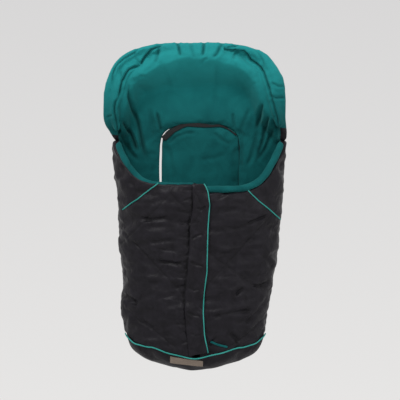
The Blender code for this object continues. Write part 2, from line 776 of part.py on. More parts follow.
def make_slider(last):
    """Two plates joined by the wedge that parts the teeth, with a bridge for the puller."""
    half = SLIDER_WIDTH / 2
    inside = TAPE_THICK / 2 + SLIDER_ROOM
    outside = inside + SLIDER_PLATE
    place = on_zip(TAPE_Z, last - SLIDER_DROP_SHARE * SLIDER_LENGTH)
    waist, hip = SLIDER_WAIST_SHARE * half, SLIDER_HIP_SHARE * SLIDER_LENGTH
    shield = [
        (-waist, 0),
        (waist, 0),
        (half, SLIDER_LENGTH / 2),
        (half, hip),
        (waist, SLIDER_LENGTH),
        (-waist, SLIDER_LENGTH),
        (-half, hip),
        (-half, SLIDER_LENGTH / 2),
    ]
    slider = meshed(plate("zip_slider", [shield], 2 * outside, place, metal()))
    wedge = TOOTH_ROOT - GAP
    wide, over = SLIDER_WIDTH, SLIDER_LENGTH
    channel = [
        (-wide, -over),
        (wide, -over),
        (wide, SLIDER_LENGTH + over),
        (wedge, SLIDER_LENGTH + over),
        (wedge, SLIDER_LENGTH),
        (0, WEDGE_SHARE * SLIDER_LENGTH),
        (-wedge, SLIDER_LENGTH),
        (-wedge, SLIDER_LENGTH + over),
        (-wide, SLIDER_LENGTH + over),
    ]
    cutter = meshed(plate("slider_channel", [channel], 2 * inside, place, None))
    combine(slider, cutter, "DIFFERENCE")
    low_end, high_end = BRIDGE_START, BRIDGE_START + BRIDGE_LENGTH
    bar = BRIDGE_BAR
    arch_points = [
        (low_end, outside - SLIDER_PLATE / 2),
        (low_end + bar, outside - SLIDER_PLATE / 2),
        (low_end + bar, outside + BRIDGE_RISE - bar),
        (high_end - bar, outside + BRIDGE_RISE - bar),
        (high_end - bar, outside - SLIDER_PLATE / 2),
        (high_end, outside - SLIDER_PLATE / 2),
        (high_end, outside + BRIDGE_RISE),
        (low_end, outside + BRIDGE_RISE),
    ]
    sideways = place @ Matrix(((0, 0, 1, 0), (1, 0, 0, 0), (0, 1, 0, 0), (0, 0, 0, 1)))
    bridge = meshed(plate("slider_bridge", [arch_points], BRIDGE_WIDTH, sideways, None))
    combine(slider, bridge, "UNION")

    pin_y = low_end + bar + PULLER_PIN
    tab, eye = PULLER_WIDTH / 2, BRIDGE_WIDTH / 2 + SLIDER_ROOM
    pin = PULLER_BAR / 2
    tip = PULLER_WIDTH / 4
    outline = [
        (-tab, pin_y + pin),
        (-tab, pin_y - PULLER_LENGTH + tip),
        (-tab + tip, pin_y - PULLER_LENGTH),
        (tab - tip, pin_y - PULLER_LENGTH),
        (tab, pin_y - PULLER_LENGTH + tip),
        (tab, pin_y + pin),
    ]
    hole = [
        (-eye, pin_y - pin),
        (eye, pin_y - pin),
        (eye, low_end - EYE_ROOM),
        (-eye, low_end - EYE_ROOM),
    ]
    lift = outside + (BRIDGE_RISE - bar) / 2
    plane = place @ Matrix.Translation((0, 0, lift))
    plate("zip_puller", [outline, hole], PULLER_THICK, plane, metal())
    return plane @ Vector((0, pin_y, 0))


def make_cover():
    """The strip over the zip: sewn on at its left, free at its piped right edge."""
    top = COVER_RISE + COVER_THICK
    section = [
        (-COVER_SEAM, GAP),
        (-COVER_SEAM + COVER_SEAM_WIDTH, GAP),
        (-COVER_SEAM + COVER_SEAM_WIDTH, COVER_RISE),
        (COVER_REACH, COVER_RISE),
        (COVER_REACH, top),
        (-COVER_SEAM, top),
    ]
    length = ZIP_LENGTH + COVER_TOP_SPARE + COVER_FOOT_SPARE
    middle = (ZIP_LENGTH + COVER_TOP_SPARE - COVER_FOOT_SPARE) / 2
    turned = on_zip(0, middle) @ Matrix.Rotation(math.pi / 2, 4, "X")
    plate("cover_strip", [section], length, turned, nylon())
    x = COVER_REACH + PIPING_RADIUS + GAP
    z = COVER_RISE + COVER_THICK / 2
    ends = (GAP - COVER_FOOT_SPARE, ZIP_LENGTH + COVER_TOP_SPARE - GAP)
    points = [ZIP_PLACE @ Vector((x, y, z)) for y in spread(6, *ends)]
    tube("cover_piping", points, PIPING_RADIUS, fleece(), 1)
    return ZIP_PLACE @ Vector((-COVER_SEAM, 0, GAP))


def nearest(surface, x, z):
    """Where on the surface the point nearest to x, z lies, seen from the front."""
    u, v, reach = 0.5, 0.5, 0.5
    for _ in range(12):
        tries = [(u + reach * i / 4, v + reach * j / 4) for i in range(-4, 5) for j in range(-4, 5)]
        tries = [(a, b) for a, b in tries if 0 <= a <= 1 and 0 <= b <= HOOD_BACK_SHARE]
        miss = lambda at: (surface(*at).x - x) ** 2 + (surface(*at).z - z) ** 2
        u, v = min(tries, key=miss)
        reach /= 2
    return u, v


def make_straps():
    """Webbing round the rail: sewn to the hood above it, closed on a patch below it."""
    around = lambda u, v: hood_surface(1 - u, v)
    yz_plane = Matrix(((0, 0, 1, 0), (1, 0, 0, 0), (0, 1, 0, 0), (0, 0, 0, 1)))
    hinges = []
    for side, word in ((-1, "left"), (1, "right")):
        x = HOOD_X + side * STRAP_X
        u, low = nearest(around, x, STRAP_BASE_Z)
        u, high = nearest(around, x, STRAP_HINGE_Z)
        wide = (around(u + HEM_STEP, high) - around(u - HEM_STEP, high)).length
        reach = STRAP_WIDTH / 2 / wide * 2 * HEM_STEP
        raised = lifted(around, STRAP_THICK + STRAP_ROOM)
        sewn = lambda a, b: raised(between(u - reach, u + reach, a), between(low, high, b))
        sheet("strap_base_" + word, sewn, BASE_GRID, 0.0, STRAP_THICK, tape())
        start = lifted(around, STRAP_ROOM + STRAP_THICK / 2)(u, high)
        path = [(start.y + STRAP_START, start.z + STRAP_START)]
        radius = RAIL_RADIUS + STRAP_SPARE + STRAP_THICK / 2
        for turn in spread(13, STRAP_WRAP_START, STRAP_WRAP_END):
            path.append((RAIL_Y + radius * math.cos(turn), RAIL_Z + radius * math.sin(turn)))
        end = 2 * PATCH_THICK + 3 * GAP + STRAP_THICK / 2
        path += [(end, PATCH_TOP_Z), (end, PATCH_FOOT_Z)]
        place = Matrix.Translation((x, 0, 0)) @ yz_plane
        plate("strap_" + word, [ribbon(path, STRAP_THICK)], STRAP_WIDTH, place, tape())
        half = STRAP_WIDTH / 2 - GAP
        patches = (("loop", GAP), ("hook", PATCH_THICK + 2 * GAP))
        for name, y in patches:
            low_corner = (x - half, y, PATCH_FOOT_Z)
            high_corner = (x + half, y + PATCH_THICK, PATCH_TOP_Z - GAP)
            name = "strap_" + name + "_patch_" + word
            box(name, low_corner, high_corner, Matrix.Identity(4), tape())
        hinges.append(Vector((x, *path[0])))
    return hinges


def ribbon(path, thick):
    """The outline of a band that follows the path, in one plane."""
    sides = ([], [])
    for i, point in enumerate(path):
        before, after = path[max(0, i - 1)], path[min(len(path) - 1, i + 1)]
        way = Vector((after[0] - before[0], after[1] - before[1])).normalized()
        for edge, sign in zip(sides, (1, -1)):
            edge.append((point[0] - sign * way.y * thick / 2, point[1] + sign * way.x * thick / 2))
    return sides[0] + sides[1][::-1]


def tell(name, point):
    print(name, [round(a, 5) for a in HOME @ point])


LAST_TOOTH = make_zip()
tell("puller hinge", make_slider(LAST_TOOTH))
tell("cover hinge", make_cover())
make_back()
for front_side, front_word in ((-1, "left"), (1, "right")):
    make_front(front_side, front_word)
make_toe()
make_hood()
for strap_hinge in make_straps():
    tell("strap hinge", strap_hinge)
print("zip travel", LAST_TOOTH - SLIDER_DROP_SHARE * SLIDER_LENGTH - BOX_LENGTH)
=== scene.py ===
import math

import bpy
import numpy as np
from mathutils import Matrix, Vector, bvhtree, kdtree, noise


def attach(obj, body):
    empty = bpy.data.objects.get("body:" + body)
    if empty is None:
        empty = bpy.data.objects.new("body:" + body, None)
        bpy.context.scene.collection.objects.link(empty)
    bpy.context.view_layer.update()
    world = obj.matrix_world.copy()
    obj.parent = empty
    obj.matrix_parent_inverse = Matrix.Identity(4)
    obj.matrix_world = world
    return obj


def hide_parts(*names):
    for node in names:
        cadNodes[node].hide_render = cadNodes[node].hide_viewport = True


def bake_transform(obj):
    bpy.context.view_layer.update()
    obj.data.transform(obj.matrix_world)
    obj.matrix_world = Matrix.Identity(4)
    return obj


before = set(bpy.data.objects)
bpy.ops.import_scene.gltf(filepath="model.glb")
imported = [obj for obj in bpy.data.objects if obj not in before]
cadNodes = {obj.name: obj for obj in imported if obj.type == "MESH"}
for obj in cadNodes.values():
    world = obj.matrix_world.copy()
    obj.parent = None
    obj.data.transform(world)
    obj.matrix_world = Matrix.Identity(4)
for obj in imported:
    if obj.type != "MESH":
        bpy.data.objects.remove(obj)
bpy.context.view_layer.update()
scene = bpy.context.scene
print("frame loaded:", len(cadNodes), "nodes")


# The camera: its place, the depth at which the view is measured, and the width seen there.
view = {
    "place": (0.0073, -2.75, 0.1097),
    "focus": -0.05,
    "width": 0.9696,
}


def linearColor(code):
    values = [int(code[i:i + 2], 16) / 255 for i in (1, 3, 5)]
    return [c / 12.92 if c <= 0.04045 else ((c + 0.055) / 1.055) ** 2.4 for c in values] + [1.0]


def addNode(tree, kind, settings=None, inputs=None):
    node = tree.nodes.new("ShaderNode" + kind)
    for name, value in (settings or {}).items():
        setattr(node, name, value)
    for name, value in (inputs or {}).items():
        if isinstance(value, bpy.types.NodeSocket):
            tree.links.new(value, node.inputs[name])
        else:
            node.inputs[name].default_value = value
    return node


def deselectAll():
    for thing in bpy.context.selected_objects:
        thing.select_set(False)


def makeActive(thing):
    deselectAll()
    thing.select_set(True)
    bpy.context.view_layer.objects.active = thing


def applyAll(thing):
    makeActive(thing)
    for modifier in list(thing.modifiers):
        bpy.ops.object.modifier_apply(modifier=modifier.name)


def readThrees(items, name):
    values = np.empty(len(items) * 3, dtype=np.float32)
    items.foreach_get(name, values)
    return values.reshape(-1, 3).astype(float)


def getPoints(thing):
    return readThrees(thing.data.vertices, "co")


def getNormals(thing):
    return readThrees(thing.data.vertex_normals, "vector")


def setPoints(thing, points):
    thing.data.vertices.foreach_set("co", points.ravel())
    thing.data.update()


def smoothFaces(thing):
    thing.data.shade_smooth()


# A new piece from copies of CAD nodes, joined and with its loose triangles merged.
def copyNodes(name, nodeNames):
    deselectAll()
    copies = []
    for nodeName in nodeNames:
        twin = cadNodes[nodeName].copy()
        twin.data = cadNodes[nodeName].data.copy()
        twin.parent = None
        for key in list(twin.keys()):
            if key.startswith("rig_"):
                del twin[key]
        scene.collection.objects.link(twin)
        twin.select_set(True)
        copies.append(twin)
    bpy.context.view_layer.objects.active = copies[0]
    if len(copies) > 1:
        bpy.ops.object.join()
    piece = bpy.context.view_layer.objects.active
    piece.name = piece.data.name = name
    piece.data.materials.clear()
    bpy.ops.object.mode_set(mode="EDIT")
    bpy.ops.mesh.select_all(action="SELECT")
    bpy.ops.mesh.remove_doubles(threshold=0.00001)
    bpy.ops.object.mode_set(mode="OBJECT")
    if piece.data.attributes.get("custom_normal"):
        piece.data.attributes.remove(piece.data.attributes["custom_normal"])
    return piece


def remesh(piece, voxel):
    step = piece.modifiers.new("remesh", "REMESH")
    step.mode = "VOXEL"
    step.voxel_size = voxel
    applyAll(piece)


def subdivide(piece, levels=1):
    step = piece.modifiers.new("smooth", "SUBSURF")
    step.levels = step.render_levels = levels
    applyAll(piece)


# A closed pad: a grid laid on the surface, given its thickness inwards.
def gridPiece(name, surface, columns, rows, thickness):
    deselectAll()
    bpy.ops.mesh.primitive_grid_add(x_subdivisions=columns, y_subdivisions=rows, size=2)
    piece = bpy.context.view_layer.objects.active
    piece.name = piece.data.name = name
    flat = getPoints(piece)
    setPoints(piece, surface((flat[:, 0] + 1) / 2, (flat[:, 1] + 1) / 2))
    wall = piece.modifiers.new("wall", "SOLIDIFY")
    wall.thickness = thickness
    wall.offset = -1
    wall.use_even_offset = True
    applyAll(piece)
    smoothFaces(piece)
    return piece


# Evens out the steps that the remesh leaves.
def settle(piece, rounds):
    step = piece.modifiers.new("settle", "SMOOTH")
    step.factor = 0.5
    step.iterations = rounds
    applyAll(piece)


puffing = {"frames": 20, "quality": 5}


# Blows the pad up between the points that stay held, no point further than the cap.
def puff(piece, held, pressure, cap, shrink=0.0):
    start = getPoints(piece)
    group = piece.vertex_groups.new(name="held")
    group.add([int(i) for i in np.nonzero(held)[0]], 1.0, "REPLACE")
    cloth = piece.modifiers.new("cloth", "CLOTH")
    cloth.settings.vertex_group_mass = "held"
    cloth.settings.use_pressure = True
    cloth.settings.uniform_pressure_force = pressure
    cloth.settings.shrink_min = shrink
    cloth.settings.effector_weights.gravity = 0
    cloth.settings.quality = puffing["quality"]
    cloth.collision_settings.use_collision = False
    cloth.point_cache.frame_start, cloth.point_cache.frame_end = 1, puffing["frames"]
    for number in range(1, puffing["frames"] + 1):
        scene.frame_set(number)
    graph = bpy.context.evaluated_depsgraph_get()
    blown = piece.evaluated_get(graph)
    moved = getPoints(blown)
    piece.modifiers.remove(cloth)
    piece.vertex_groups.remove(group)
    scene.frame_set(1)
    step = moved - start
    length = np.linalg.norm(step, axis=1, keepdims=True)
    step *= np.minimum(1, cap / np.maximum(length, 1e-9))
    step[np.isnan(step)] = 0
    setPoints(piece, start + step)


# Distance of each point, seen from the front, to a line given in millimetres.
def lineDistance(points, line):
    flat = points[:, [0, 2]] * 1000
    best = np.full(len(flat), 1e9)
    along = np.zeros(len(flat))
    for i in range(len(line) - 1):
        a, b = np.array(line[i], float), np.array(line[i + 1], float)
        way = b - a
        t = np.clip(((flat - a) @ way) / (way @ way), 0, 1)
        away = np.linalg.norm(flat - a - t[:, None] * way, axis=1)
        near = away < best
        along[near] = (i + t[near]) / (len(line) - 1)
        best = np.minimum(best, away)
    return best, along


# Spots measured in the front view as x and z in millimetres, for what lies at that depth.
def inMillimetres(spots, depth=-0.05):
    size = view["width"] / 400 * (depth - view["place"][1]) / (view["focus"] - view["place"][1]) * 1000
    left, up = view["place"][0] * 1000, view["place"][2] * 1000
    return [(left + (x - 200) * size, up + (200 - z) * size) for x, z in spots]


# Folds whose lines are spots in the front view.
def foldsSeen(rows, depth=-0.05):
    return [(inMillimetres(line, depth), deep, width) for line, deep, width in rows]


# Presses folds into the side that faces the front, and marks a painted shade along them, darker for deeper folds.
def pressFolds(piece, folds, marked=8.5):
    points, normals = getPoints(piece), getNormals(piece)
    toFront = np.clip(-2.5 * normals[:, 1], 0, 1)
    push = np.zeros(len(points))
    mark = piece.data.attributes.get("paintedFoldShade") or piece.data.attributes.new("paintedFoldShade", "FLOAT", "POINT")
    dark = np.empty(len(points), dtype=np.float32)
    mark.data.foreach_get("value", dark)
    for line, depth, width in folds:
        away, along = lineDistance(points, line)
        ends = np.clip(np.minimum(along, 1 - along) * 6 + 0.1, 0, 1)
        valley = np.exp(-(away / width) ** 2)
        ridge = np.exp(-((away - 2.1 * width) / (1.2 * width)) ** 2)
        push += ends * (-depth * valley + 0.25 * depth * ridge) / 1000
        # Painted shade: the mark is strongest on the fold's line, on the side that faces the front.
        shade = np.exp(-(away / (0.8 * width)) ** 2) * min(1, (depth / marked) ** 1.5)
        dark = np.maximum(dark, ends * shade * toFront)
    points += normals * (push * toFront)[:, None]
    setPoints(piece, points)
    mark = piece.data.attributes["paintedFoldShade"]
    mark.data.foreach_set("value", dark.astype(np.float32))


# Soft unevenness of stuffed cloth: size and height in metres, less where it is held.
def ripple(piece, size, height, seed, stretch=(1, 1, 1), loose=1.0):
    points, normals = getPoints(piece), getNormals(piece)
    scaled = points * np.array(stretch) / size + seed * 7.3
    push = np.array([noise.noise(point) for point in scaled]) * loose
    setPoints(piece, points + normals * (push * height)[:, None])


# On a pad made by gridPiece the second run of faces is its lining.
def lineInside(piece, count):
    inner = np.zeros(len(piece.data.polygons), dtype=int)
    inner[count:2 * count] = 1
    piece.data.polygons.foreach_set("material_index", inner)


# Gives the piece its materials, hangs it on its body if it has one, and hides the CAD nodes it replaces.
def dressIn(piece, body, replaced, *materials):
    for material in materials:
        piece.data.materials.append(material)
    if body:
        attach(piece, body)
    if replaced:
        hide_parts(*replaced)


# Fills the gaps in a grid of depths from the neighbours in the row, then in the column.
def fillGaps(depths, columns):
    grid = depths.reshape(-1, columns)
    for lines in (grid, grid.T):
        for line in lines:
            known = np.nonzero(~np.isnan(line))[0]
            if 0 < len(known) < len(line):
                line[:] = np.interp(np.arange(len(line)), known, line[known])
    return grid.ravel()


# How far back the piece's foremost surface lies at x and z.
def frontAt(piece, x, z):
    hit, place, normal, _ = piece.ray_cast((x, -1, z), (0, 1, 0), distance=2)
    return place[1] if hit else math.nan


# Points along a flat line of x and z, and such points standing in the plane y = 0.
def alongLine(line, share):
    knots = np.linspace(0, 1, len(line))
    return np.stack([np.interp(share, knots, line[:, i]) for i in (0, 1)], axis=1)


def standing(flat):
    return np.stack([flat[:, 0], np.zeros(len(flat)), flat[:, 1]], axis=1)


# Points of a pad made by gridPiece, their rows in the grid, and which lie on its rim.
def gridPlaces(piece, columns):
    points = getPoints(piece)
    number = np.arange(len(points)) % (len(points) // 2)
    column, row = number % (columns + 1), number // (columns + 1)
    return points, row, (column < 1) | (column > columns - 1) | (row < 1) | (row > row.max() - 1)


# Lays a thin piece made by gridPiece on the named pieces, as seen from the front.
# What lies further back than the limit doesn't carry it.
def layDown(piece, columns, names, lift, limit, rounds=2):
    points = getPoints(piece)
    half = len(points) // 2
    depths = np.full(half, np.nan)
    limits = np.broadcast_to(limit, (half,))
    for name in names:
        under = bpy.data.objects[name]
        for i in range(half):
            depth = frontAt(under, points[i, 0], points[i, 2])
            if depth < limits[i] and not depths[i] < depth:
                depths[i] = depth
    thick = np.abs(points[half:, 1] - points[:half, 1]).mean()
    points[:half, 1] = fillGaps(depths, columns) - lift - thick
    points[half:] = points[:half] + (0, thick, 0)
    setPoints(piece, points)
    settle(piece, rounds)


# A material with its shader's inputs, and the object coordinates for what varies over it.
def startMaterial(name, inputs):
    material = bpy.data.materials.new(name)
    material.use_nodes = True
    tree = material.node_tree
    shader = tree.nodes["Principled BSDF"].inputs
    for key, value in inputs.items():
        shader[key].default_value = value
    return material, tree, shader, addNode(tree, "TexCoord").outputs["Object"]


def addNoise(tree, place, scale, detail, roughness=0.5, distortion=0.0):
    return addNode(tree, "TexNoise", None, {
        "Vector": place, "Scale": scale, "Detail": detail, "Roughness": roughness, "Distortion": distortion,
    }).outputs["Fac"]


def addTones(tree, share, low, high, ends=(0.0, 1.0)):
    tone = addNode(tree, "ValToRGB", None, {"Fac": share})
    for element, end, code in zip(tone.color_ramp.elements, ends, (low, high)):
        element.position = end
        element.color = linearColor(code)
    return tone.outputs["Color"]


def addMix(tree, share, low, high, blend="MIX"):
    return addNode(tree, "Mix", {"data_type": "RGBA", "blend_type": blend}, {
        "Factor": share, "A": low, "B": high}).outputs["Result"]


def addBump(tree, height, strength, distance, under=None):
    inputs = {"Strength": strength, "Distance": distance, "Height": height}
    if under is not None:
        inputs["Normal"] = under
    return addNode(tree, "Bump", None, inputs).outputs["Normal"]


# Threads that run across and up, put together as the named operation says.
def addThreads(tree, place, thread, operation):
    waves = [addNode(tree, "TexWave", {"bands_direction": axis}, {"Vector": place, "Scale": 0.314 / thread})
             for axis in ("X", "Z")]
    return addNode(tree, "Math", {"operation": operation}, {
        number: wave.outputs["Fac"] for number, wave in enumerate(waves)}).outputs[0]


# Painted shade: the colour goes towards the deep colour where pressFolds has marked a fold.
def paintFoldShade(tree, color, deep):
    paintedFoldShade = addNode(tree, "Attribute", {"attribute_name": "paintedFoldShade"})
    return addMix(tree, paintedFoldShade.outputs["Fac"], color, linearColor(deep))


nylonLook = {
    "color": "#1f1d23",
    # The darker colour in the hollows of the crinkles, not at seams: painted shade.
    "seam": "#110f14",
    # The colour deep in a marked fold: painted shade.
    "deep": "#08080a",
    "roughness": 0.46,
    "specular": 0.16,
    "crinkleSize": 0.02,
    "thread": 0.0012,
}


# Taffeta-woven polyamide, dyed black: a soft sheen broken by small crinkles. Its colour is darker in the crinkles'
# hollows and in folds: painted shade.
def paddedNylon():
    material, tree, shader, place = startMaterial("blackNylonTaffeta", {
        "Roughness": nylonLook["roughness"], "Specular IOR Level": nylonLook["specular"]})
    crinkle = addNoise(tree, place, 1 / nylonLook["crinkleSize"], 5.0, 0.55, 0.6)
    # Painted shade: where the crinkle noise, which also makes the bump, is low, the colour goes towards the darker
    # one.
    tone = addTones(tree, crinkle, nylonLook["seam"], nylonLook["color"], (0.3, 0.75))
    tree.links.new(paintFoldShade(tree, tone, nylonLook["deep"]), shader["Base Color"])
    fine = addBump(tree, addThreads(tree, place, nylonLook["thread"], "ADD"), 0.12, 0.0004)
    tree.links.new(addBump(tree, crinkle, 0.6, 0.004, fine), shader["Normal"])
    return material


fleeceLook = {
    "light": "#105b5c",
    "dark": "#044244",
    # The colour deep in a marked fold: painted shade.
    "deep": "#052a2b",
    # A painted light, screened over the fleece high up on the hood.
    "paintedTopLight": "#1a7475",
    # The heights between which that painted light goes from none to full.
    "paintedTopLightFrom": 0.30,
    "paintedTopLightTo": 0.43,
    "sheen": "#66c4c0",
    "nap": 0.0016,
    "patch": 0.05,
}


# Brushed polyester fleece: matt, its short nap stroked lighter and darker in patches. A painted light makes it
# lighter towards the top, and painted shade darkens it in folds.
def tealFleece(name="tealFleece", light=fleeceLook["light"], dark=fleeceLook["dark"]):
    material, tree, shader, place = startMaterial(name, {
        "Roughness": 1.0, "Specular IOR Level": 0.15,
        "Sheen Weight": 0.25, "Sheen Roughness": 0.5, "Sheen Tint": linearColor(fleeceLook["sheen"])})
    patch = addNoise(tree, place, 1 / fleeceLook["patch"], 3.0, 0.5, 0.8)
    tuft = addNoise(tree, place, 1 / fleeceLook["nap"], 2.0, 0.7)
    mixed = addNode(tree, "Math", {"operation": "MULTIPLY_ADD"}, {0: tuft, 1: 0.45, 2: patch}).outputs[0]
    tone = addTones(tree, mixed, dark, light, (0.45, 0.95))
    # Painted light: between the given heights a light colour is screened over the fleece, so it is lighter towards
    # the top.
    height = addNode(tree, "SeparateXYZ", None, {"Vector": place}).outputs["Z"]
    plain = addNode(tree, "MapRange", None, {
        "Value": height, "From Min": fleeceLook["paintedTopLightFrom"], "From Max": fleeceLook["paintedTopLightTo"],
        "To Min": 1.0, "To Max": 0.0}).outputs[0]
    over = addMix(tree, plain, linearColor(fleeceLook["paintedTopLight"]), (0, 0, 0, 1))
    paintedTopLight = addMix(tree, 1.0, tone, over, "SCREEN")
    tree.links.new(paintFoldShade(tree, paintedTopLight, fleeceLook["deep"]), shader["Base Color"])
    tree.links.new(addBump(tree, tuft, 0.5, 0.0012), shader["Normal"])
    return material


webbingLook = {"color": "#1c1c1f", "thread": 0.0016}


# Woven polypropylene tape: rows of flat threads with dark gaps between them.
def wovenTape(name="blackWebbing", color=webbingLook["color"], thread=webbingLook["thread"], roughness=0.75):
    material, tree, shader, place = startMaterial(name, {"Roughness": roughness})
    weave = addThreads(tree, place, thread, "MULTIPLY")
    gap, top = [[min(1, c * share) for c in linearColor(color)[:3]] + [1] for share in (0.6, 1.35)]
    tree.links.new(addMix(tree, weave, gap, top), shader["Base Color"])
    tree.links.new(addBump(tree, weave, 0.5, 0.0005), shader["Normal"])
    return material


# Die-cast zinc under black lacquer: smooth, with a tight highlight.
def lacqueredZinc():
    material, tree, shader, place = startMaterial("blackLacqueredZinc", {"Metallic": 0.7, "Roughness": 0.32})
    wear = addNoise(tree, place, 900.0, 3.0)
    tree.links.new(addTones(tree, wear, "#232326", "#4a4a4e"), shader["Base Color"])
    return material


# Injection-moulded polyamide of the zip's box, pin and stops: satin black, fine grain.
def mouldedNylon():
    material, tree, shader, place = startMaterial("mouldedBlackPolyamide", {"Roughness": 0.42})
    grain = addNoise(tree, place, 1500.0, 2.0)
    tree.links.new(addTones(tree, grain, "#161618", "#232327"), shader["Base Color"])
    tree.links.new(addBump(tree, grain, 0.2, 0.0002), shader["Normal"])
    return material


nylon = paddedNylon()
fleece = tealFleece()
binding = tealFleece("tealBinding", "#419f96", "#278078")
webbing = wovenTape()
hookTape = wovenTape("blackHookTape", "#141416", 0.0022, 0.9)
labelWeave = wovenTape("taupeLabelWeave", "#8f8073", 0.0012, 0.85)
zinc = lacqueredZinc()
moulded = mouldedNylon()
print("materials ready")


bag = {
    "sideTop": 0.255, "sideFoot": -0.215,
    "leftTopX": -0.204, "leftFootX": -0.174, "rightTopX": 0.215, "rightFootX": 0.166,
    "zipTop": 0.130, "zipFoot": -0.248, "zipTopX": 0.007, "zipFootX": -0.004,
    "depthTop": 0.118, "depthFoot": 0.096, "sideWall": 0.006, "wallShare": 0.06,
    "planPower": 2.4, "bagY": -0.0154,
    "leftRim": 0.136, "rightRim": 0.126, "rimPower": 6, "leftRise": 0.010,
    "seam": -0.2655, "seamRise": 0.025, "seamEdgeRise": 0.031,
    "foot": -0.3, "footSag": 0.040, "footRound": 0.045,
    "shoulderReach": 0.52, "shoulderLow": 0.085,
}


def between(low, high, share):
    return low + (high - low) * share


def sideX(side, z):
    share = (z - bag["sideFoot"]) / (bag["sideTop"] - bag["sideFoot"])
    if side < 0:
        return between(bag["leftFootX"], bag["leftTopX"], share)
    return between(bag["rightFootX"], bag["rightTopX"], share)


# A bag value given at the zip's foot and top, at the height z.
def alongZip(footKey, topKey, z):
    return between(bag[footKey], bag[topKey], (z - bag["zipFoot"]) / (bag["zipTop"] - bag["zipFoot"]))


def zipX(z):
    return alongZip("zipFootX", "zipTopX", z)


# Place across as a share of the way from the zip to the side.
def reachOf(side, points):
    middle = zipX(points[:, 2])
    return np.abs(points[:, 0] - middle) / np.abs(sideX(side, points[:, 2]) - middle)


def standOut(reach, z):
    plan = (1 - np.minimum(1, np.abs(reach)) ** bag["planPower"]) ** (1 / bag["planPower"])
    return between(bag["sideWall"], alongZip("depthFoot", "depthTop", z), plan)


def footZ(reach):
    return bag["foot"] + bag["footSag"] * reach ** 1.3 + bag["footRound"] * reach ** 10


def toeSeamZ(reach):
    return bag["seam"] + bag["seamRise"] * np.minimum(1, reach / 0.6) ** 1.3 + bag["seamEdgeRise"] * reach ** 8


def rimZ(side, reach):
    low = bag["leftRim"] if side < 0 else bag["rightRim"]
    return low + (bag["sideTop"] - low) * reach ** bag["rimPower"]


def shoulderZ(side, reach):
    start = bag["shoulderReach"]
    return between(rimZ(side, start), bag["shoulderLow"], (reach - start) / (1 - start))


# Out of the bag for both sides: u runs from the side to the zip on the left, back on the right.
def frontSurface(side, low, high, edge):
    def points(u, v):
        share = u if side < 0 else 1 - u
        turn = np.maximum(0, share - bag["wallShare"]) / (1 - bag["wallShare"])
        bare = np.maximum(0, np.cos(turn * math.pi / 2)) ** (2 / bag["planPower"])

        def reachAt(z):
            rest = edge / np.abs(sideX(side, z) - zipX(z))
            return rest + (1 - rest) * bare

        middle = reachAt((bag["zipTop"] + bag["zipFoot"]) / 2)
        z = between(low(middle), high(middle), v)
        reach = reachAt(z)
        out = np.where(turn > 0, standOut(reach, z), bag["sideWall"] * share / bag["wallShare"])
        return np.stack([between(zipX(z), sideX(side, z), reach), bag["bagY"] - out, z], axis=1)

    return points


toeForm = {"reach": 0.985, "flatShare": 0.2, "lift": 0.005, "liftReach": 0.09}


def toeSurface(u, v):
    flat = toeForm["flatShare"]
    turn = np.cos(u * math.pi)
    reach = np.abs(turn) ** (2 / bag["planPower"]) * toeForm["reach"]
    top, low = toeSeamZ(reach), footZ(reach)
    radius = top - low
    far = standOut(reach, top)
    side = np.where(turn > 0, bag["leftFootX"], bag["rightFootX"])
    x = between(zipX(top), side, reach)
    angle = np.clip((v - flat) / (1 - flat), 0, 1) * math.pi / 2
    out = np.where(v < flat, (far - radius) * v / flat, far - radius + radius * np.sin(angle))
    lift = toeForm["lift"] * np.clip(out / toeForm["liftReach"], 0, 1) * np.cos(angle)
    return np.stack([x, bag["bagY"] - out, low + radius * (1 - np.cos(angle)) + lift], axis=1)


hood = {
    "x": -0.006, "half": 0.219, "waist": 0.306, "rise": 0.181, "fall": 0.112, "power": 3.3,
    "start": math.radians(-16.5), "wall": 0.076, "endWall": 0.036, "turn": math.radians(100),
    "flatShare": 0.4, "backTop": 0.330, "backHalf": 0.137, "backPower": 2.8,
    "lean": 0.031, "taper": 0.015,
}


def rounded(turn, power):
    across, up = np.cos(turn), np.sin(turn)
    return np.sign(across) * np.abs(across) ** (2 / power), np.sign(up) * np.abs(up) ** (2 / power)


def hoodOutline(turn):
    across, up = rounded(turn, hood["power"])
    rise = np.where(up > 0, hood["rise"], hood["fall"])
    below = np.maximum(0, -up)
    x = hood["x"] + hood["lean"] * below + (hood["half"] - hood["taper"] * below) * across
    return np.stack([x, np.zeros_like(up), hood["waist"] + rise * up], axis=-1)


def hoodSurface(u, v):
    u = 1 - u
    rim = hoodOutline(between(math.pi - hood["start"], hood["start"], u))
    across, up = rounded(math.pi * (1 - u), hood["backPower"])
    low = hoodOutline(np.array(hood["start"]))[2]
    base = np.stack([hood["backHalf"] * across, np.zeros_like(up), between(low, hood["backTop"], up)], axis=-1)
    length = np.linalg.norm(rim - base, axis=1)
    way = (rim - base) / length[:, None]
    wall = between(hood["endWall"], hood["wall"], np.maximum(0, np.sin(u * math.pi)) ** 0.8)
    flat = length - wall
    angle = np.maximum(0, (v - hood["flatShare"]) / (1 - hood["flatShare"])) * hood["turn"]
    run = np.where(v < hood["flatShare"], flat * v / hood["flatShare"], flat + wall * np.sin(angle))
    points = base + way * run[:, None]
    points[:, 1] -= wall * (1 - np.cos(angle))
    return points


# Point, normal and way towards the edge of the surface at u, v.
def surfaceFrame(surface, u, v, step=0.001):
    point = surface(u, v)
    along = surface(np.minimum(1, u + step), v) - surface(np.maximum(0, u - step), v)
    across = surface(u, np.minimum(1, v + step)) - surface(u, np.maximum(0, v - step))
    along /= np.linalg.norm(along, axis=1, keepdims=True)
    across /= np.linalg.norm(across, axis=1, keepdims=True)
    normal = np.cross(along, across)
    normal /= np.linalg.norm(normal, axis=1, keepdims=True)
    return point, normal, across, along


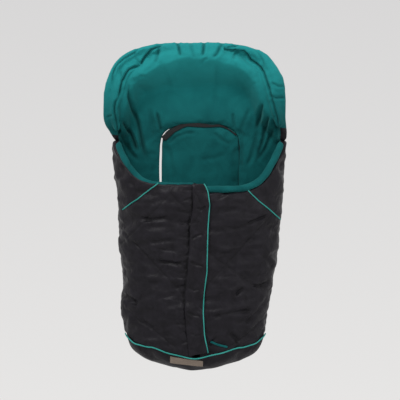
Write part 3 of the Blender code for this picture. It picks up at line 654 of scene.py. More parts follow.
hoodRoll = {
    "count": 260,
    "sides": 24,
    # Share of the way from the right end to the left end, and the radius there.
    "radii": [(0, 0.003), (0.02, 0.007), (0.045, 0.011), (0.08, 0.0165), (0.117, 0.018), (0.19, 0.018), (0.25, 0.015),
              (0.3, 0.011), (0.36, 0.007), (0.42, 0.003), (0.56, 0.003), (0.64, 0.006), (0.74, 0.0065),
              (0.81, 0.0075), (0.88, 0.010), (0.92, 0.0125), (0.955, 0.011), (0.98, 0.006), (1, 0.003)],
}


# The elasticated hem: a roll of lining round the rim, gathered by the elastic.
def rollLine():
    u = np.linspace(0.045, 0.975, hoodRoll["count"])
    radius = np.interp(np.linspace(0, 1, hoodRoll["count"]), *zip(*hoodRoll["radii"]))
    point, normal, across, along = surfaceFrame(hoodSurface, u, np.ones_like(u))
    middle = point - normal * (0.0075 + np.maximum(0, radius - 0.0105))[:, None]
    return middle, radius, normal, across


# Two more folds of the lining lie between that roll and the pillow, one on each side.
innerFolds = {
    # Spots in the front view and the radius there, in metres.
    "left": [(161, 47, 0.006), (153, 50, 0.011), (145, 54.5, 0.014), (136, 61, 0.0145), (128, 69, 0.0135),
             (121.5, 78, 0.0125), (117.5, 89, 0.012), (115.5, 100, 0.0115), (114.5, 110, 0.0105), (115, 120, 0.009),
             (117.5, 130, 0.0065)],
    "right": [(226, 47, 0.003), (236, 49, 0.007), (246, 53.5, 0.010), (254, 59.5, 0.0115), (261.5, 67.5, 0.012),
              (267, 78, 0.0125), (271, 90, 0.013), (274.5, 103, 0.013), (277.5, 115, 0.0115), (280, 126, 0.008)],
    "depth": -0.072,
}


def makeInnerFold(word):
    table = innerFolds[word]
    spots = np.array(inMillimetres([row[:2] for row in table], innerFolds["depth"])) / 1000
    share = np.linspace(0, len(table) - 1, hoodRoll["count"])
    x, z, radius = [np.interp(share, range(len(table)), line) for line in (*spots.T, [row[2] for row in table])]
    middle = np.stack([x, np.full(len(x), innerFolds["depth"] + 0.004), z], axis=1)
    way = np.gradient(middle, axis=0)
    way /= np.linalg.norm(way, axis=1, keepdims=True)
    normal = np.tile((0.0, -1.0, 0.0), (len(x), 1))
    return makeRoll(middle, radius, normal, np.cross(way, normal))


def makeRoll(middle, radius, normal, across):
    count = len(middle)
    deselectAll()
    bpy.ops.mesh.primitive_grid_add(x_subdivisions=hoodRoll["sides"], y_subdivisions=count - 1, size=2)
    piece = bpy.context.view_layer.objects.active
    flat = getPoints(piece)
    place = np.rint((flat[:, 1] + 1) / 2 * (count - 1)).astype(int)
    turn = (flat[:, 0] + 1) * math.pi
    spoke = normal[place] * np.cos(turn)[:, None] + across[place] * np.sin(turn)[:, None]
    small = 0.035 * np.sin(place * 0.47 + 1.5 * np.sin(turn)) * np.sin(place * 0.11)
    gather = 1 + small + 0.05 * np.sin(place * 0.17 + 2)
    setPoints(piece, middle[place] + spoke * (radius[place] * gather)[:, None])
    makeActive(piece)
    bpy.ops.object.mode_set(mode="EDIT")
    bpy.ops.mesh.select_all(action="SELECT")
    bpy.ops.mesh.remove_doubles(threshold=0.00001)
    bpy.ops.mesh.select_all(action="DESELECT")
    bpy.ops.mesh.select_non_manifold()
    bpy.ops.mesh.fill()
    bpy.ops.mesh.select_all(action="SELECT")
    bpy.ops.mesh.normals_make_consistent(inside=False)
    bpy.ops.object.mode_set(mode="OBJECT")
    return piece


backPad = {
    "voxel": 0.0045,
    "pressure": 4.0,
    "cap": 0.005,
    "shrink": -0.01,
    "scoop": (230, 40, 0.0153),
    # Held while it is puffed: the middle plane, and a band along the sides up to that height.
    "still": 0.004, "band": 0.006, "bandTop": 0.25,
    # How near a fold the cloth is fleece; nylon at the hood's ends, and along the sides up to that height.
    "foldReach": 0.009, "edgeBand": 0.009, "edgeTop": 0.24,
    "leftEnd": (-0.191, 0.268), "rightEnd": (0.202, 0.284),
    # Spots in the front view, then depth and width in millimetres.
    "creases": [
        ([(162, 48), (152, 52), (147, 57), (143.5, 62), (141, 66.5)], 6.5, 2.6),
        ([(141, 67), (135, 68.5), (130, 71), (127, 75), (124, 81), (122, 87), (121, 93), (119.5, 99)], 6.5, 2.6),
        ([(119.5, 99), (116.5, 103), (115.5, 108), (115.5, 114), (117, 120), (118.5, 126), (119, 132), (119.5, 137)],
         6.5, 2.6),
        ([(222, 47), (225, 52), (232, 52.5), (238, 53), (243, 53.5), (247, 57), (250, 61), (256, 65)], 6.5, 2.6),
        ([(250, 61), (256, 65), (260, 69), (263, 74), (265, 80), (268, 88), (269.5, 95)], 6.5, 2.6),
        ([(268, 88), (269.5, 95), (271, 100), (273, 107), (275, 114), (277, 121), (277.5, 129)], 6.5, 2.6),
        ([(141, 48), (138, 51), (135.5, 55), (130, 58), (125, 61), (119, 65.5), (116, 70), (114, 76), (113.5, 90)],
         4, 2.6),
        ([(136, 54), (136.5, 60), (141, 66)], 2.5, 3),
        ([(121, 72), (122, 78), (121.5, 84)], 3, 3),
        ([(177, 39), (178, 46), (179.5, 52), (181, 59)], 6, 3.5),
        ([(205, 39), (204, 46), (203.5, 52), (202.5, 59)], 6, 3.5),
        ([(190, 40), (192, 52), (195, 62)], 3, 4),
        ([(223, 40), (221, 48), (217, 56), (213, 60)], 5, 4),
        ([(163, 42), (160, 50), (157, 58), (156, 66)], 4, 4.5),
        ([(234, 44), (235, 54), (233, 62)], 2.5, 4),
        ([(208, 61), (204, 62), (200, 66)], 2, 3),
        ([(216, 66), (215.5, 85), (215, 108)], 1.5, 5),
        ([(268, 97), (275, 99), (286, 98)], 4, 3.5),
        ([(270, 84), (277, 88), (284, 87)], 3, 3),
        ([(107, 118), (113, 116)], 2.5, 3),
        ([(246, 47), (252, 49), (256, 53), (259, 58), (262, 64), (264, 73)], 3, 3),
        ([(226, 50), (232, 49), (240, 46)], 4, 3),
        ([(140, 78), (146, 78)], 2, 3),
        ([(129, 84), (130, 98), (133, 110), (137, 121), (139.5, 132), (142, 145), (146, 160)], 7, 4.5),
        ([(123, 121), (127, 128), (131, 135), (134, 143), (136, 150)], 8, 4),
        ([(120, 132), (124, 142), (130, 152), (137, 160)], 5, 4.5),
        ([(148, 106), (151, 116), (153, 128), (154, 140)], 3, 6),
        ([(156, 111), (158, 118), (160, 126), (161.5, 131)], 6, 3.5),
        ([(262, 104), (260, 112), (259, 120), (258, 128)], 6, 4),
        ([(251, 106), (246, 118), (242, 128), (240, 137)], 3, 5),
        ([(268, 116), (266, 126), (264, 138), (258, 156)], 6, 4),
        ([(274, 127), (270, 138), (266, 148), (258, 160)], 5, 4.5),
        ([(258, 128), (256, 142), (252, 156), (247, 166)], 4, 5),
        ([(263, 110), (260, 124)], 2, 4),
        ([(233, 112), (234, 120), (235, 128)], 4, 3.5),
        ([(243, 133), (241, 150), (241, 170)], 3, 5),
    ],
}


# Inside the hood's rim the lining swells forward, drawn in by the elastic.
liningLip = {
    # Its outer edge in the front view, and how far in it reaches there, in millimetres.
    "edge": [(119.5, 146), (119, 137), (118, 128), (116.5, 118), (116, 110), (117.5, 101), (120, 92), (122.5, 84),
             (126, 76), (132, 69.5), (139, 64), (146, 57.5), (154, 51.5), (163, 48), (174, 44.5), (186, 43),
             (198, 43), (210, 44), (222, 46.5), (233, 51.5), (243, 55), (252, 61.5), (260, 69.5), (265, 79),
             (268.5, 90), (271, 101), (274, 112), (276.5, 122), (277.5, 132), (277.5, 142)],
    "reach": [12, 20, 28, 36, 42, 47, 51, 55, 60, 69, 78, 88, 96, 102, 106, 108, 108, 105, 99, 91, 83, 73, 64, 57,
              52, 48, 40, 31, 22, 12],
    "crest": 0.24,
    "forward": 0.003,
    "overEdge": 0.009,
    "columns": 150,
    "rows": 26,
}


def makeLiningLip(scoop):
    edge = np.array(inMillimetres(liningLip["edge"], -0.07)) / 1000
    rim = hoodSurface(np.linspace(0, 1, 300), np.ones(300))

    def surface(u, v):
        way = alongLine(edge, u + 0.02) - alongLine(edge, u - 0.02)
        way /= np.linalg.norm(way, axis=1, keepdims=True)
        inward = np.stack([way[:, 1], -way[:, 0]], axis=1)
        reach = np.interp(u, np.linspace(0, 1, len(edge)), liningLip["reach"]) / 1000
        return standing(alongLine(edge, u) + inward * (reach * v)[:, None])

    lip = gridPiece("liningLip", surface, liningLip["columns"], liningLip["rows"], 0.001)
    points = getPoints(lip)
    half, columns = len(points) // 2, liningLip["columns"] + 1
    number = np.arange(half)
    u, v = (number % columns) / (columns - 1), (number // columns) / liningLip["rows"]
    lining = np.array([frontAt(scoop, x, z) for x, z in points[:half, [0, 2]]])
    lining = np.minimum(fillGaps(lining, columns), -0.014)
    start = points[:columns, [0, 2]]
    nearest = np.linalg.norm(start[:, None, :] - rim[None, :, [0, 2]], axis=2).argmin(axis=1)
    overEdge = np.exp(-((points[:half, 0] - 0.003) / 0.062) ** 4)
    front = rim[nearest, 1][number % columns] - between(liningLip["forward"], liningLip["overEdge"], overEdge)
    crest = liningLip["crest"]
    rise = np.sqrt(np.clip(1 - ((crest - v) / crest) ** 2, 0, 1))
    fall = 0.5 * (1 + np.cos(math.pi * np.clip((v - crest) / (1 - crest), 0, 1)))
    swell = np.where(v < crest, rise, fall) * np.clip(np.minimum(u, 1 - u) * 12, 0, 1)
    points[:half, 1] = np.minimum(lining - 0.0005, between(lining, front, swell))
    points[half:] = points[:half]
    points[half:, 1] = lining + 0.004
    setPoints(lip, points)
    return lip


# One run of lining covers the back and the hood, so both are one pad.
def makeBackAndHood():
    parts = ["outer", "wadding", "lining"]
    replaced = [place + "_" + part for place in ("back", "hood") for part in parts] + ["hood_hem", "hood_elastic"]
    piece = copyNodes("backAndHood", ["back_outer", "back_wadding", "back_lining"])
    scoop = gridPiece("hoodScoop", hoodSurface, *backPad["scoop"])
    lip = makeLiningLip(scoop)
    folds = [lip, makeRoll(*rollLine()), makeInnerFold("left"), makeInnerFold("right")]
    graph = bpy.context.evaluated_depsgraph_get()
    foldTrees = [bvhtree.BVHTree.FromObject(fold, graph) for fold in folds]
    deselectAll()
    for part in (piece, scoop, *folds):
        part.data.materials.clear()
        part.select_set(True)
    bpy.context.view_layer.objects.active = piece
    bpy.ops.object.join()
    remesh(piece, backPad["voxel"])
    points, normals = getPoints(piece), getNormals(piece)
    held = outerSide(points, normals) | (np.abs(points[:, 1]) < backPad["still"])
    held |= alongSides(points, backPad["band"]) & (points[:, 2] < backPad["bandTop"])
    puff(piece, held, backPad["pressure"], backPad["cap"], backPad["shrink"])
    subdivide(piece)
    settle(piece, 4)
    ripple(piece, 0.08, 0.003, 3)
    middles, facing = [readThrees(piece.data.polygons, name) for name in ("center", "normal")]
    inner = ~outerSide(middles, facing)
    inner |= nearHem(middles)
    onFold = np.array([
        any(tree.find_nearest(middle, backPad["foldReach"])[0] for tree in foldTrees) for middle in middles])
    inner |= onFold & (facing[:, 1] < 0.3)
    x, z = middles[:, 0], middles[:, 2]
    (leftX, leftZ), (rightX, rightZ) = backPad["leftEnd"], backPad["rightEnd"]
    inner[((x > rightX) & (z < rightZ)) | ((x < leftX) & (z < leftZ))] = False
    inner[(z < backPad["edgeTop"]) & alongSides(middles, backPad["edgeBand"])] = False
    pressFolds(piece, foldsSeen(backPad["creases"]))
    smoothFaces(piece)
    dressIn(piece, "back_and_hood", replaced, nylon, fleece)
    piece.data.polygons.foreach_set("material_index", inner.astype(int))
    loop = copyNodes("backLoopTape", ["back_loop_tape"])
    dressIn(loop, "back_and_hood", ["back_loop_tape"], hookTape)


# Which points lie within that band of the side seams.
def alongSides(points, band):
    x, z = points[:, 0], points[:, 2]
    return (x < sideX(-1, z) + band) | (x > sideX(1, z) - band)


# Which points lie on the roll or within 14 mm of the hood's rim.
def nearHem(points):
    middle, radius, normal, across = rollLine()
    rim = hoodSurface(np.linspace(0.055, 0.965, len(middle)), np.ones(len(middle)))
    spots, reach = np.concatenate([middle, rim]), np.concatenate([radius + 0.005, np.full(len(rim), 0.014)])
    tree = kdtree.KDTree(len(spots))
    for i, spot in enumerate(spots):
        tree.insert(spot, i)
    tree.balance()
    return np.array([any(away < reach[i] for spot, i, away in tree.find_n(point, 12)) for point in points])


# The nylon side: the flat rear, and outside the hood, away from its hollow.
def outerSide(points, normals):
    heart = np.array([hood["x"], -0.11, 0.29])
    hoodPart = points[:, 1] < -0.0175
    out = ((points - heart) * normals).sum(axis=1) > 0.002
    return np.where(hoodPart, out, normals[:, 1] > -0.35)


harnessFlap = {
    "voxel": 0.004,
    "pressure": 4.0,
    "cap": 0.005,
    "liningY": -0.003,
    # Spots in the front view, for what lies at that depth.
    "depth": -0.02,
    "creases": [
        ([(168, 144), (176, 137), (186, 133), (196, 133)], 3, 4),
        ([(214, 132), (222, 140), (232, 144)], 3, 5),
        ([(200, 160), (214, 158), (226, 154)], 2, 6),
        ([(170, 152), (172, 166), (176, 180)], 2, 6),
    ],
    "tapeTop": [(160.5, 137), (166, 132.2), (172, 128), (180, 124), (186, 122.2), (192, 122.2), (200, 123),
                (212, 124.5), (219, 124.2), (223, 125.5), (230, 129), (237, 134.5)],
    "tapeLow": [(165.5, 141), (170, 137), (174, 133), (181, 128.8), (187, 126.4), (195, 127), (205, 127.6),
                (214, 127.2), (219, 126.6), (224, 127.6), (230, 130.6), (236.3, 136)],
}


def makeHarnessFlap():
    layers = ["flap_outer", "flap_wadding", "flap_lining"]
    piece = copyNodes("harnessFlap", layers)
    remesh(piece, harnessFlap["voxel"])
    points = getPoints(piece)
    puff(piece, points[:, 1] > harnessFlap["liningY"], harnessFlap["pressure"], harnessFlap["cap"])
    subdivide(piece)
    points = getPoints(piece)
    right = np.clip((points[:, 0] - 0.070) / 0.025, 0, 1)
    top = np.clip((points[:, 2] - 0.240) / 0.045, 0, 1)
    left = np.clip((-0.055 - points[:, 0]) / 0.025, 0, 1)
    points[:, 0] += 0.003 * right - 0.0035 * left
    points[:, 2] += 0.0045 * top
    setPoints(piece, points)
    ripple(piece, 0.06, 0.003, 5)
    pressFolds(piece, foldsSeen(harnessFlap["creases"], harnessFlap["depth"]))
    smoothFaces(piece)
    dressIn(piece, "harness_flap", layers, nylon, fleece)
    inner = readThrees(piece.data.polygons, "center")[:, 1] < harnessFlap["liningY"]
    piece.data.polygons.foreach_set("material_index", inner.astype(int))
    makeFlapTape()


# Hook tape sewn along the flap's upper edge, its left end cut square.
def makeFlapTape():
    low, top = [
        np.array(inMillimetres(harnessFlap[key], harnessFlap["depth"])) / 1000 for key in ("tapeLow", "tapeTop")]

    def surface(u, v):
        return standing(between(alongLine(low, u), alongLine(top, u), v[:, None]))

    tape = gridPiece("flapHookTape", surface, 60, 5, 0.0016)
    layDown(tape, 61, ["harnessFlap"], 0.0012, -0.012, 3)
    dressIn(tape, "harness_flap", ["flap_hook_tape"], hookTape)


makeBackAndHood()
makeHarnessFlap()
print("back and harness flap made")


coverStrip = {
    "columns": 20,
    "rows": 130,
    "thickness": 0.0032,
    # Edges by height and place across, in millimetres.
    "left": [(154, -13), (98, -10), (49, -17), (-32, -21), (-88, -27), (-137, -31), (-181, -28), (-254, -21)],
    "right": [(154, 12), (143, 20), (130, 26), (98, 30), (42, 26), (-43, 24), (-60, 24), (-110, 17), (-157, 15),
              (-210, 18), (-254, 27)],
    "seam": [(192, 180), (193, 198), (190, 218), (188.3, 252), (186, 275), (183.6, 296), (185.5, 314), (188, 349)],
    # Spots in the front view.
    "creases": [
        ([(197, 208), (201, 210), (206, 206)], 2.2, 3), ([(191, 240), (197, 236), (204, 234)], 2, 3),
        ([(190, 262), (196, 265), (204, 267)], 2.2, 3), ([(186, 312), (193, 316), (201, 317)], 2.2, 3),
        ([(194, 192), (198, 197), (200, 204)], 1.6, 3), ([(188, 288), (194, 291), (199, 290)], 1.6, 3),
        ([(190, 334), (196, 337), (203, 335)], 1.6, 3), ([(191, 224), (195, 222), (200, 223)], 1.4, 3),
    ],
}


def zipFront(z):
    return bag["bagY"] - alongZip("depthFoot", "depthTop", z)


def coverSurface(u, v):
    z = between(between(-0.2635, -0.2535, u), 0.1495, v)
    edges = []
    for side in ("left", "right"):
        knotsZ, knotsX = zip(*reversed(coverStrip[side]))
        edges.append(np.interp(z * 1000, knotsZ, knotsX) / 1000)
    return np.stack([between(*edges, u), zipFront(z), z], axis=1)


frontPad = {
    "columns": 48,
    "rows": 96,
    "thickness": 0.0155,
    "pressure": 5.0,
    "cap": 0.009,
    "growth": -0.025,
    "edge": 0.006,
    "bend": 0.07,
    "held": 0.035,
    "depth": -0.12,
    # How far the padding swells out at the side, by height, in millimetres.
    "leftSwell": [(-215, 0), (-190, 4), (-170, 6), (-142, 6), (-130, 4), (-104, 0), (-60, 0), (-7, 1), (22, 2),
                  (71, 0), (90, -2), (110, -3), (129, -3), (140, -1), (158, 2), (190, 3), (226, 4), (255, 0)],
    "rightSwell": [(-215, 0), (-165, 1), (-142, 3), (-120, 4), (-80, 5), (-65, 8), (-46, 11), (-7, 11), (22, 10),
                   (71, 9), (129, 9), (158, 7), (190, 4), (226, 4), (255, 3)],
    # Spots in the front view; the seams of the quilting first.
    "leftSeams": [
        [(113, 222), (132, 241), (158, 268), (184, 295), (198, 308)],
        [(120, 306), (140, 323), (154, 331), (176, 349)],
        [(186, 176), (160, 205), (130, 235), (112, 252)],
    ],
    "rightSeams": [
        [(200, 243), (214, 257), (242, 277), (270, 297)],
        [(284, 202), (262, 226), (236, 254), (204, 288)],
        [(205, 197), (228, 180)],
        [(268, 318), (244, 338), (222, 352)],
    ],
    "leftCreases": [
        ([(141, 219), (150, 220), (160, 219), (168, 217)], 4, 4.5),
        ([(150, 244), (162, 241), (176, 240)], 2.5, 5.5),
        ([(158, 262), (170, 263), (184, 265)], 4.5, 4),
        ([(124, 297), (130, 301), (137, 306)], 5, 5.5),
        ([(136, 280), (148, 283), (160, 283)], 2, 6),
        ([(150, 204), (160, 200), (168, 198)], 2, 6),
        ([(170, 192), (178, 202), (186, 208)], 3, 5),
        ([(118, 268), (124, 272), (132, 272)], 2.5, 5),
        ([(160, 300), (172, 304), (183, 302)], 2, 6),
        ([(142, 322), (150, 327), (154, 329)], 3, 4),
        ([(128, 178), (136, 190), (150, 194)], 2, 6),
        ([(160, 336), (172, 336), (182, 340)], 2, 6),
    ],
    "rightCreases": [
        ([(217, 198), (226, 192), (236, 190)], 3.5, 5),
        ([(246, 225), (254, 221), (262, 218), (268, 216)], 5, 4),
        ([(222, 226), (234, 229), (246, 226)], 3, 6),
        ([(236, 240), (246, 243), (256, 238)], 2, 6),
        ([(218, 244), (232, 247), (246, 246)], 2.5, 6),
        ([(253, 286), (262, 287), (270, 284)], 5, 4),
        ([(236, 296), (240, 291), (244, 288)], 5, 4.5),
        ([(214, 288), (226, 289), (238, 286)], 2.5, 6),
        ([(211, 318), (224, 314), (240, 312), (254, 312)], 3.5, 5),
        ([(230, 333), (234, 337), (240, 344)], 5, 5),
        ([(246, 325), (252, 318), (262, 310)], 3.5, 5),
        ([(212, 214), (226, 212), (240, 208)], 2, 7),
        ([(262, 255), (270, 262), (274, 270)], 3, 6),
        ([(208, 348), (212, 342), (216, 338)], 4, 3.5),
    ],
}


def swellSide(piece, side, word):
    points = getPoints(piece)
    heights, steps = zip(*frontPad[word + "Swell"])
    reach = reachOf(side, points)
    step = np.interp(points[:, 2] * 1000, heights, steps) / 1000
    points[:, 0] += side * step * np.clip(reach, 0, 1) ** 3
    setPoints(piece, points)


def makeFront(side, word):
    outerRise = bag["leftRise"] if side < 0 else 0.0
    low = lambda reach: toeSeamZ(reach) - 0.0022
    high = lambda reach: rimZ(side, reach) + outerRise * (1 - reach ** bag["rimPower"])
    surface = frontSurface(side, low, high, frontPad["edge"])
    piece = gridPiece(word + "Front", surface, frontPad["columns"], frontPad["rows"], frontPad["thickness"])
    points, row, held = gridPlaces(piece, frontPad["columns"])
    half = len(points) // 2
    # The lining's top edge goes up into the roll.
    points[half:, 2] += 0.004 * (row[half:] / frontPad["rows"]) ** 12
    setPoints(piece, points)
    seams = [inMillimetres(seam, frontPad["depth"]) for seam in frontPad[word + "Seams"]]
    for seam in seams[:2] + [shoulderLine(side)]:
        away, along = lineDistance(points, seam)
        held |= away < 2.6
    puff(piece, held, frontPad["pressure"], frontPad["cap"], frontPad["growth"])
    layers = [word + "_" + layer for layer in ("outer", "shoulder", "wadding", "lining")]
    dressIn(piece, None, layers, nylon, fleece)
    lineInside(piece, frontPad["columns"] * frontPad["rows"])
    subdivide(piece)
    swellSide(piece, side, word)
    points = getPoints(piece)
    rim = rimZ(side, np.clip(reachOf(side, points), 0, 1))
    fromEdge = np.minimum(rim - points[:, 2], bag["bagY"] - points[:, 1])
    loose = np.clip(fromEdge / frontPad["held"], 0.1, 1)
    ripple(piece, 0.07, 0.006, 11 + side, (0.5, 0.8, 1.8), loose)
    ripple(piece, 0.03, 0.003, 31 + side, (0.5, 1, 2), loose)
    pressFolds(piece, foldsSeen(frontPad[word + "Creases"], frontPad["depth"]), 8)
    pressFolds(piece, [(seam, 0.9, 2.2) for seam in seams], 1.6)
    if side < 0:
        pressFolds(piece, foldsSeen(seamPuckers(), -0.13), 4.5)
    smoothFaces(piece)
    bendAtSeam(piece)


# The seam that holds the cover strip, and the small puckers that run out from it.
def seamPuckers():
    seam = coverStrip["seam"]
    puckers = [(seam, 4, 2.6)]
    for i, y in enumerate(range(190, 345, 8)):
        x = float(np.interp(y, *zip(*[(b, a) for a, b in seam])))
        length, lean = 7 + 5 * math.sin(i * 2.3), 3 * math.sin(i * 1.7)
        puckers.append(([(x + 1, y), (x - length / 2, y + lean / 2), (x - length, y + lean)], 2, 3))
    return puckers


# The seams at the sides stay shut; here the piece's placement is only baked into its points.
def bendAtSeam(piece):
    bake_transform(piece)


def shoulderLine(side):
    line = []
    for reach in np.linspace(bag["shoulderReach"], 1.0, 9):
        z = float(shoulderZ(side, reach))
        line.append((between(zipX(z), sideX(side, z), reach) * 1000, z * 1000))
    return line


for frontSide, frontWord in ((-1, "left"), (1, "right")):
    makeFront(frontSide, frontWord)
print("fronts made")


# Spots of a line in the front view, laid on the piece along the camera's rays.
def layOn(piece, spots, lift, count=40):
    spots = np.array(spots, float)
    share = np.linspace(0, len(spots) - 1, count)
    rays = [np.interp(share, range(len(spots)), spots[:, i]) for i in (0, 1)]
    eye = Vector(view["place"])
    laid = []
    for x, z in inMillimetres(np.array(rays).T, view["focus"]):
        way = (Vector((x / 1000, view["focus"], z / 1000)) - eye).normalized()
        hit, place, normal, _ = piece.ray_cast(eye, way)
        if hit:
            laid.append(np.array(place) + np.array(normal) * lift)
    return np.array(laid)


def makeCord(name, points, radius, body, replaced, finish=None):
    deselectAll()
    bpy.ops.curve.primitive_nurbs_path_add()
    line = bpy.context.view_layer.objects.active
    line.name = line.data.name = name
    line.data.splines.clear()
    spline = line.data.splines.new("NURBS")
    spline.points.add(len(points) - 1)
    for knot, point in zip(spline.points, points):
        knot.co = (*point, 1)
    spline.use_endpoint_u = True
    spline.order_u = 4
    line.data.bevel_depth = radius
    line.data.bevel_resolution = 4
    line.data.use_fill_caps = True
    line.data.resolution_u = 2
    makeActive(line)
    bpy.ops.object.convert(target="MESH")
    piece = bpy.context.view_layer.objects.active
    smoothFaces(piece)
    dressIn(piece, body, replaced, finish or binding)
    return piece


rimRoll = {"levels": 2, "lumpSize": 0.02, "lumps": 0.0012, "snug": 0.0015}


# A roll of fleece along each front's rim, thick enough to sit snug against the front's edge.
def makeRimRoll(side, word):
    nodeName = word + "_rim_roll"
    piece = copyNodes(word + "RimRoll", [nodeName])
    subdivide(piece, rimRoll["levels"])
    ripple(piece, rimRoll["lumpSize"], rimRoll["lumps"], 2)
    smoothFaces(piece)
    dressIn(piece, None, [nodeName], fleece)
    swellSide(piece, side, word)
    setPoints(piece, getPoints(piece) + getNormals(piece) * rimRoll["snug"])
    bendAtSeam(piece)


for frontSide, frontWord in ((-1, "left"), (1, "right")):
    makeRimRoll(frontSide, frontWord)
print("rim rolls made")


toe = {
    "columns": 90,
    "rows": 18,
    "thickness": 0.0105,
    "pressure": 5.0,
    "cap": 0.004,
    "shrink": -0.02,
    # Corners in the front view: the lower two, then the upper two.
    "label": [(169.8, 363.3), (203, 367), (170, 355.8), (203.2, 360.6)],
}


def makeToe():
    piece = gridPiece("toeCap", toeSurface, toe["columns"], toe["rows"], toe["thickness"])
    points, row, held = gridPlaces(piece, toe["columns"])
    puff(piece, held, toe["pressure"], toe["cap"], toe["shrink"])
    dressIn(piece, "back_and_hood", ["toe_outer", "toe_wadding", "toe_lining"], nylon, fleece)
    lineInside(piece, toe["columns"] * toe["rows"])
    subdivide(piece)
    ripple(piece, 0.035, 0.0022, 8)
    smoothFaces(piece)


def makeToePiping():
    u = np.linspace(0.035, 0.965, 120)
    point, normal, across, along = surfaceFrame(toeSurface, u, np.full_like(u, 0.99))
    wave = 0.0006 * np.sin(u * 60) + 0.0005 * np.sin(u * 23 + 1)
    line = point + normal * 0.0035 + across * wave[:, None]
    makeCord("toePiping", line, 0.0015, "back_and_hood", ["toe_piping"])


def makeLabel():
    corners = np.array(inMillimetres(toe["label"], -0.1)) / 1000

    def surface(u, v):
        low, top = [between(corners[i], corners[i + 1], u[:, None]) for i in (0, 2)]
        return standing(between(low, top, v[:, None]))

    piece = gridPiece("footLabel", surface, 24, 8, 0.0008)
    layDown(piece, 25, ["toeCap"], 0.0006, 0)
    dressIn(piece, "back_and_hood", ["label"], labelWeave)


makeToe()
makeLabel()
makeToePiping()
print("toe made")


def makeCover():
    columns, rows = coverStrip["columns"], coverStrip["rows"]
    piece = gridPiece("coverStrip", coverSurface, columns, rows, coverStrip["thickness"])
    points = getPoints(piece)[:(columns + 1) * (rows + 1)]
    across = np.tile(np.linspace(0, 1, columns + 1), rows + 1)
    lift = 0.0006 + 0.0038 * across ** 0.7 + 0.0007 * np.sin(points[:, 2] * 110 + 2 * across)
    layDown(piece, columns + 1, ["leftFront", "rightFront"], lift, zipFront(points[:, 2]) + 0.003, 10)
    edge = getPoints(piece)[:len(points)].reshape(rows + 1, columns + 1, 3)[:, -1]
    subdivide(piece)
    ripple(piece, 0.028, 0.0016, 4, (0.8, 1, 1.2))
    pressFolds(piece, foldsSeen(coverStrip["creases"], -0.14), 3.5)
    smoothFaces(piece)
    dressIn(piece, None, ["cover_strip"], nylon)
    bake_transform(piece)
    makeCord("coverPiping", edge + (0.001, 0.0008, 0), 0.0014, "cover_flap", ["cover_piping"])


def makeShoulderPipings():
    lines = {
        "left": [(160.5, 182), (149, 190), (138, 199), (131.8, 203), (123, 209.5)],
        "right": [(247.5, 190), (258, 200.5), (269.2, 209.5), (281, 220)],
    }
    for word, line in lines.items():
        points = layOn(bpy.data.objects[word + "Front"], line, 0.001)
        piping = makeCord(word + "ShoulderPiping", points, 0.0014, None, [word + "_shoulder_piping"])
        bendAtSeam(piping)


# The right front's lower corner is pulled up and shows a little of its lining.
def makeLiftedCorner():
    line = [(210.5, 341.5), (214, 343), (219, 345), (224, 346.5), (227, 347)]
    points = layOn(bpy.data.objects["rightFront"], line, 0.0012)
    makeCord("liftedLining", points, 0.0026, "right_front", [], fleece)


makeCover()
makeShoulderPipings()
makeLiftedCorner()
print("cover strip made")


# Node without its side, then the piece without its side, its body without its side, and its tape.
flatPieces = [
    ("strap", "Strap", "strap", webbing),
    ("strap_base", "StrapBase", None, webbing),
    ("strap_hook_patch", "HookPatch", "strap", hookTape),
    ("strap_loop_patch", "LoopPatch", None, hookTape),
    ("zip_tape", "ZipTape", "front", webbing),
]


def makeFlatPiece(nodeName, name, body, tape):
    piece = copyNodes(name, [nodeName])
    bevel = piece.modifiers.new("edge", "BEVEL")
    bevel.width = 0.0003
    bevel.segments = 2
    bevel.limit_method = "ANGLE"
    applyAll(piece)
    dressIn(piece, body, [nodeName], tape)


def finishCadNode(nodeName, material):
    materials = cadNodes[nodeName].data.materials
    materials.clear()
    materials.append(material)


for flatNode, flatName, flatBody, flatTape in flatPieces:
    for word in ("left", "right"):
        body = word + "_" + flatBody if flatBody else "back_and_hood"
        makeFlatPiece(flatNode + "_" + word, word + flatName, body, flatTape)
for nodeName in ("zip_slider", "zip_puller"):
    finishCadNode(nodeName, zinc)
for nodeName in ("zip_box", "zip_pin", "top_stop_left", "top_stop_right"):
    finishCadNode(nodeName, moulded)
print("zip and straps made")


studio = {
    "wallTop": "#d7d6d6",
    "wallLow": "#e7e6e5",
    "floor": "#e4e3e2",
    "floorZ": -0.75,
    "floorRadius": 1.9,
    "worldStrength": 0.6,
    "keyPower": 56,
    "fillPower": 9,
    "rearPower": 5,
}


def makeStage():
    deselectAll()
    bpy.ops.mesh.primitive_circle_add(
        vertices=96, radius=studio["floorRadius"], fill_type="NGON", location=(0, 0, studio["floorZ"]))
    floor = bpy.context.view_layer.objects.active
    floor.name = "floor"
    material = bpy.data.materials.new("paleFloor")
    material.use_nodes = True
    shader = material.node_tree.nodes["Principled BSDF"]
    shader.inputs["Base Color"].default_value = linearColor(studio["floor"])
    shader.inputs["Roughness"].default_value = 0.9
    floor.data.materials.append(material)


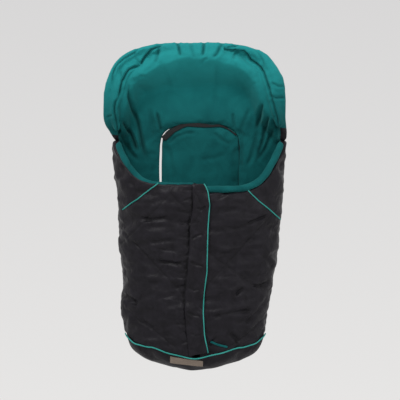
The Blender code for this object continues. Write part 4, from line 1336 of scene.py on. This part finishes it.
def makeWorld():
    world = bpy.data.worlds.new("studio")
    scene.world = world
    world.use_nodes = True
    tree = world.node_tree
    tree.nodes.clear()
    way = addNode(tree, "TexCoord").outputs["Generated"]
    height = addNode(tree, "SeparateXYZ", None, {"Vector": way}).outputs["Z"]
    share = addNode(tree, "MapRange", None, {"Value": height, "From Min": -0.2, "From Max": 0.2}).outputs[0]
    wall = addMix(tree, share, linearColor(studio["wallLow"]), linearColor(studio["wallTop"]))
    seen = addNode(tree, "Background", None, {"Color": wall, "Strength": 1.0})
    light = addNode(tree, "Background", None, {"Color": linearColor("#ffffff"), "Strength": studio["worldStrength"]})
    # The wall is seen by the camera and in reflections; everything else gets the plain light.
    path = addNode(tree, "LightPath").outputs
    looks = path["Is Camera Ray"]
    for ray in ("Is Glossy Ray", "Is Transmission Ray"):
        looks = addNode(tree, "Math", {"operation": "MAXIMUM"}, {0: looks, 1: path[ray]}).outputs[0]
    mixed = addNode(tree, "MixShader", None, {0: looks, 1: light.outputs[0], 2: seen.outputs[0]})
    addNode(tree, "OutputWorld", None, {"Surface": mixed.outputs[0]})


def addLamp(name, place, size, power, aim):
    deselectAll()
    bpy.ops.object.light_add(type="AREA", location=place)
    lamp = bpy.context.view_layer.objects.active
    lamp.name = name
    lamp.data.shape = "DISK"
    lamp.data.size = size
    lamp.data.energy = power
    lamp.rotation_euler = (Vector(aim) - Vector(place)).to_track_quat("-Z", "Y").to_euler()


def makeLightAndCamera():
    addLamp("keyLamp", (-1.0, -1.9, 2.6), 1.2, studio["keyPower"], (0, -0.05, 0.15))
    addLamp("fillLamp", (1.8, -1.8, 0.8), 1.6, studio["fillPower"], (0, -0.05, 0.1))
    addLamp("rearLamp", (0.6, 2.4, 1.6), 1.6, studio["rearPower"], (0, 0, 0.1))
    deselectAll()
    bpy.ops.object.camera_add(location=view["place"], rotation=(math.pi / 2, 0, 0))
    camera = bpy.context.view_layer.objects.active
    camera.data.sensor_width = 36
    camera.data.lens = 36 * (view["focus"] - view["place"][1]) / view["width"]
    scene.camera = camera
    scene.view_settings.view_transform = "Standard"


makeStage()
makeWorld()
makeLightAndCamera()
print("stage, light and camera ready")
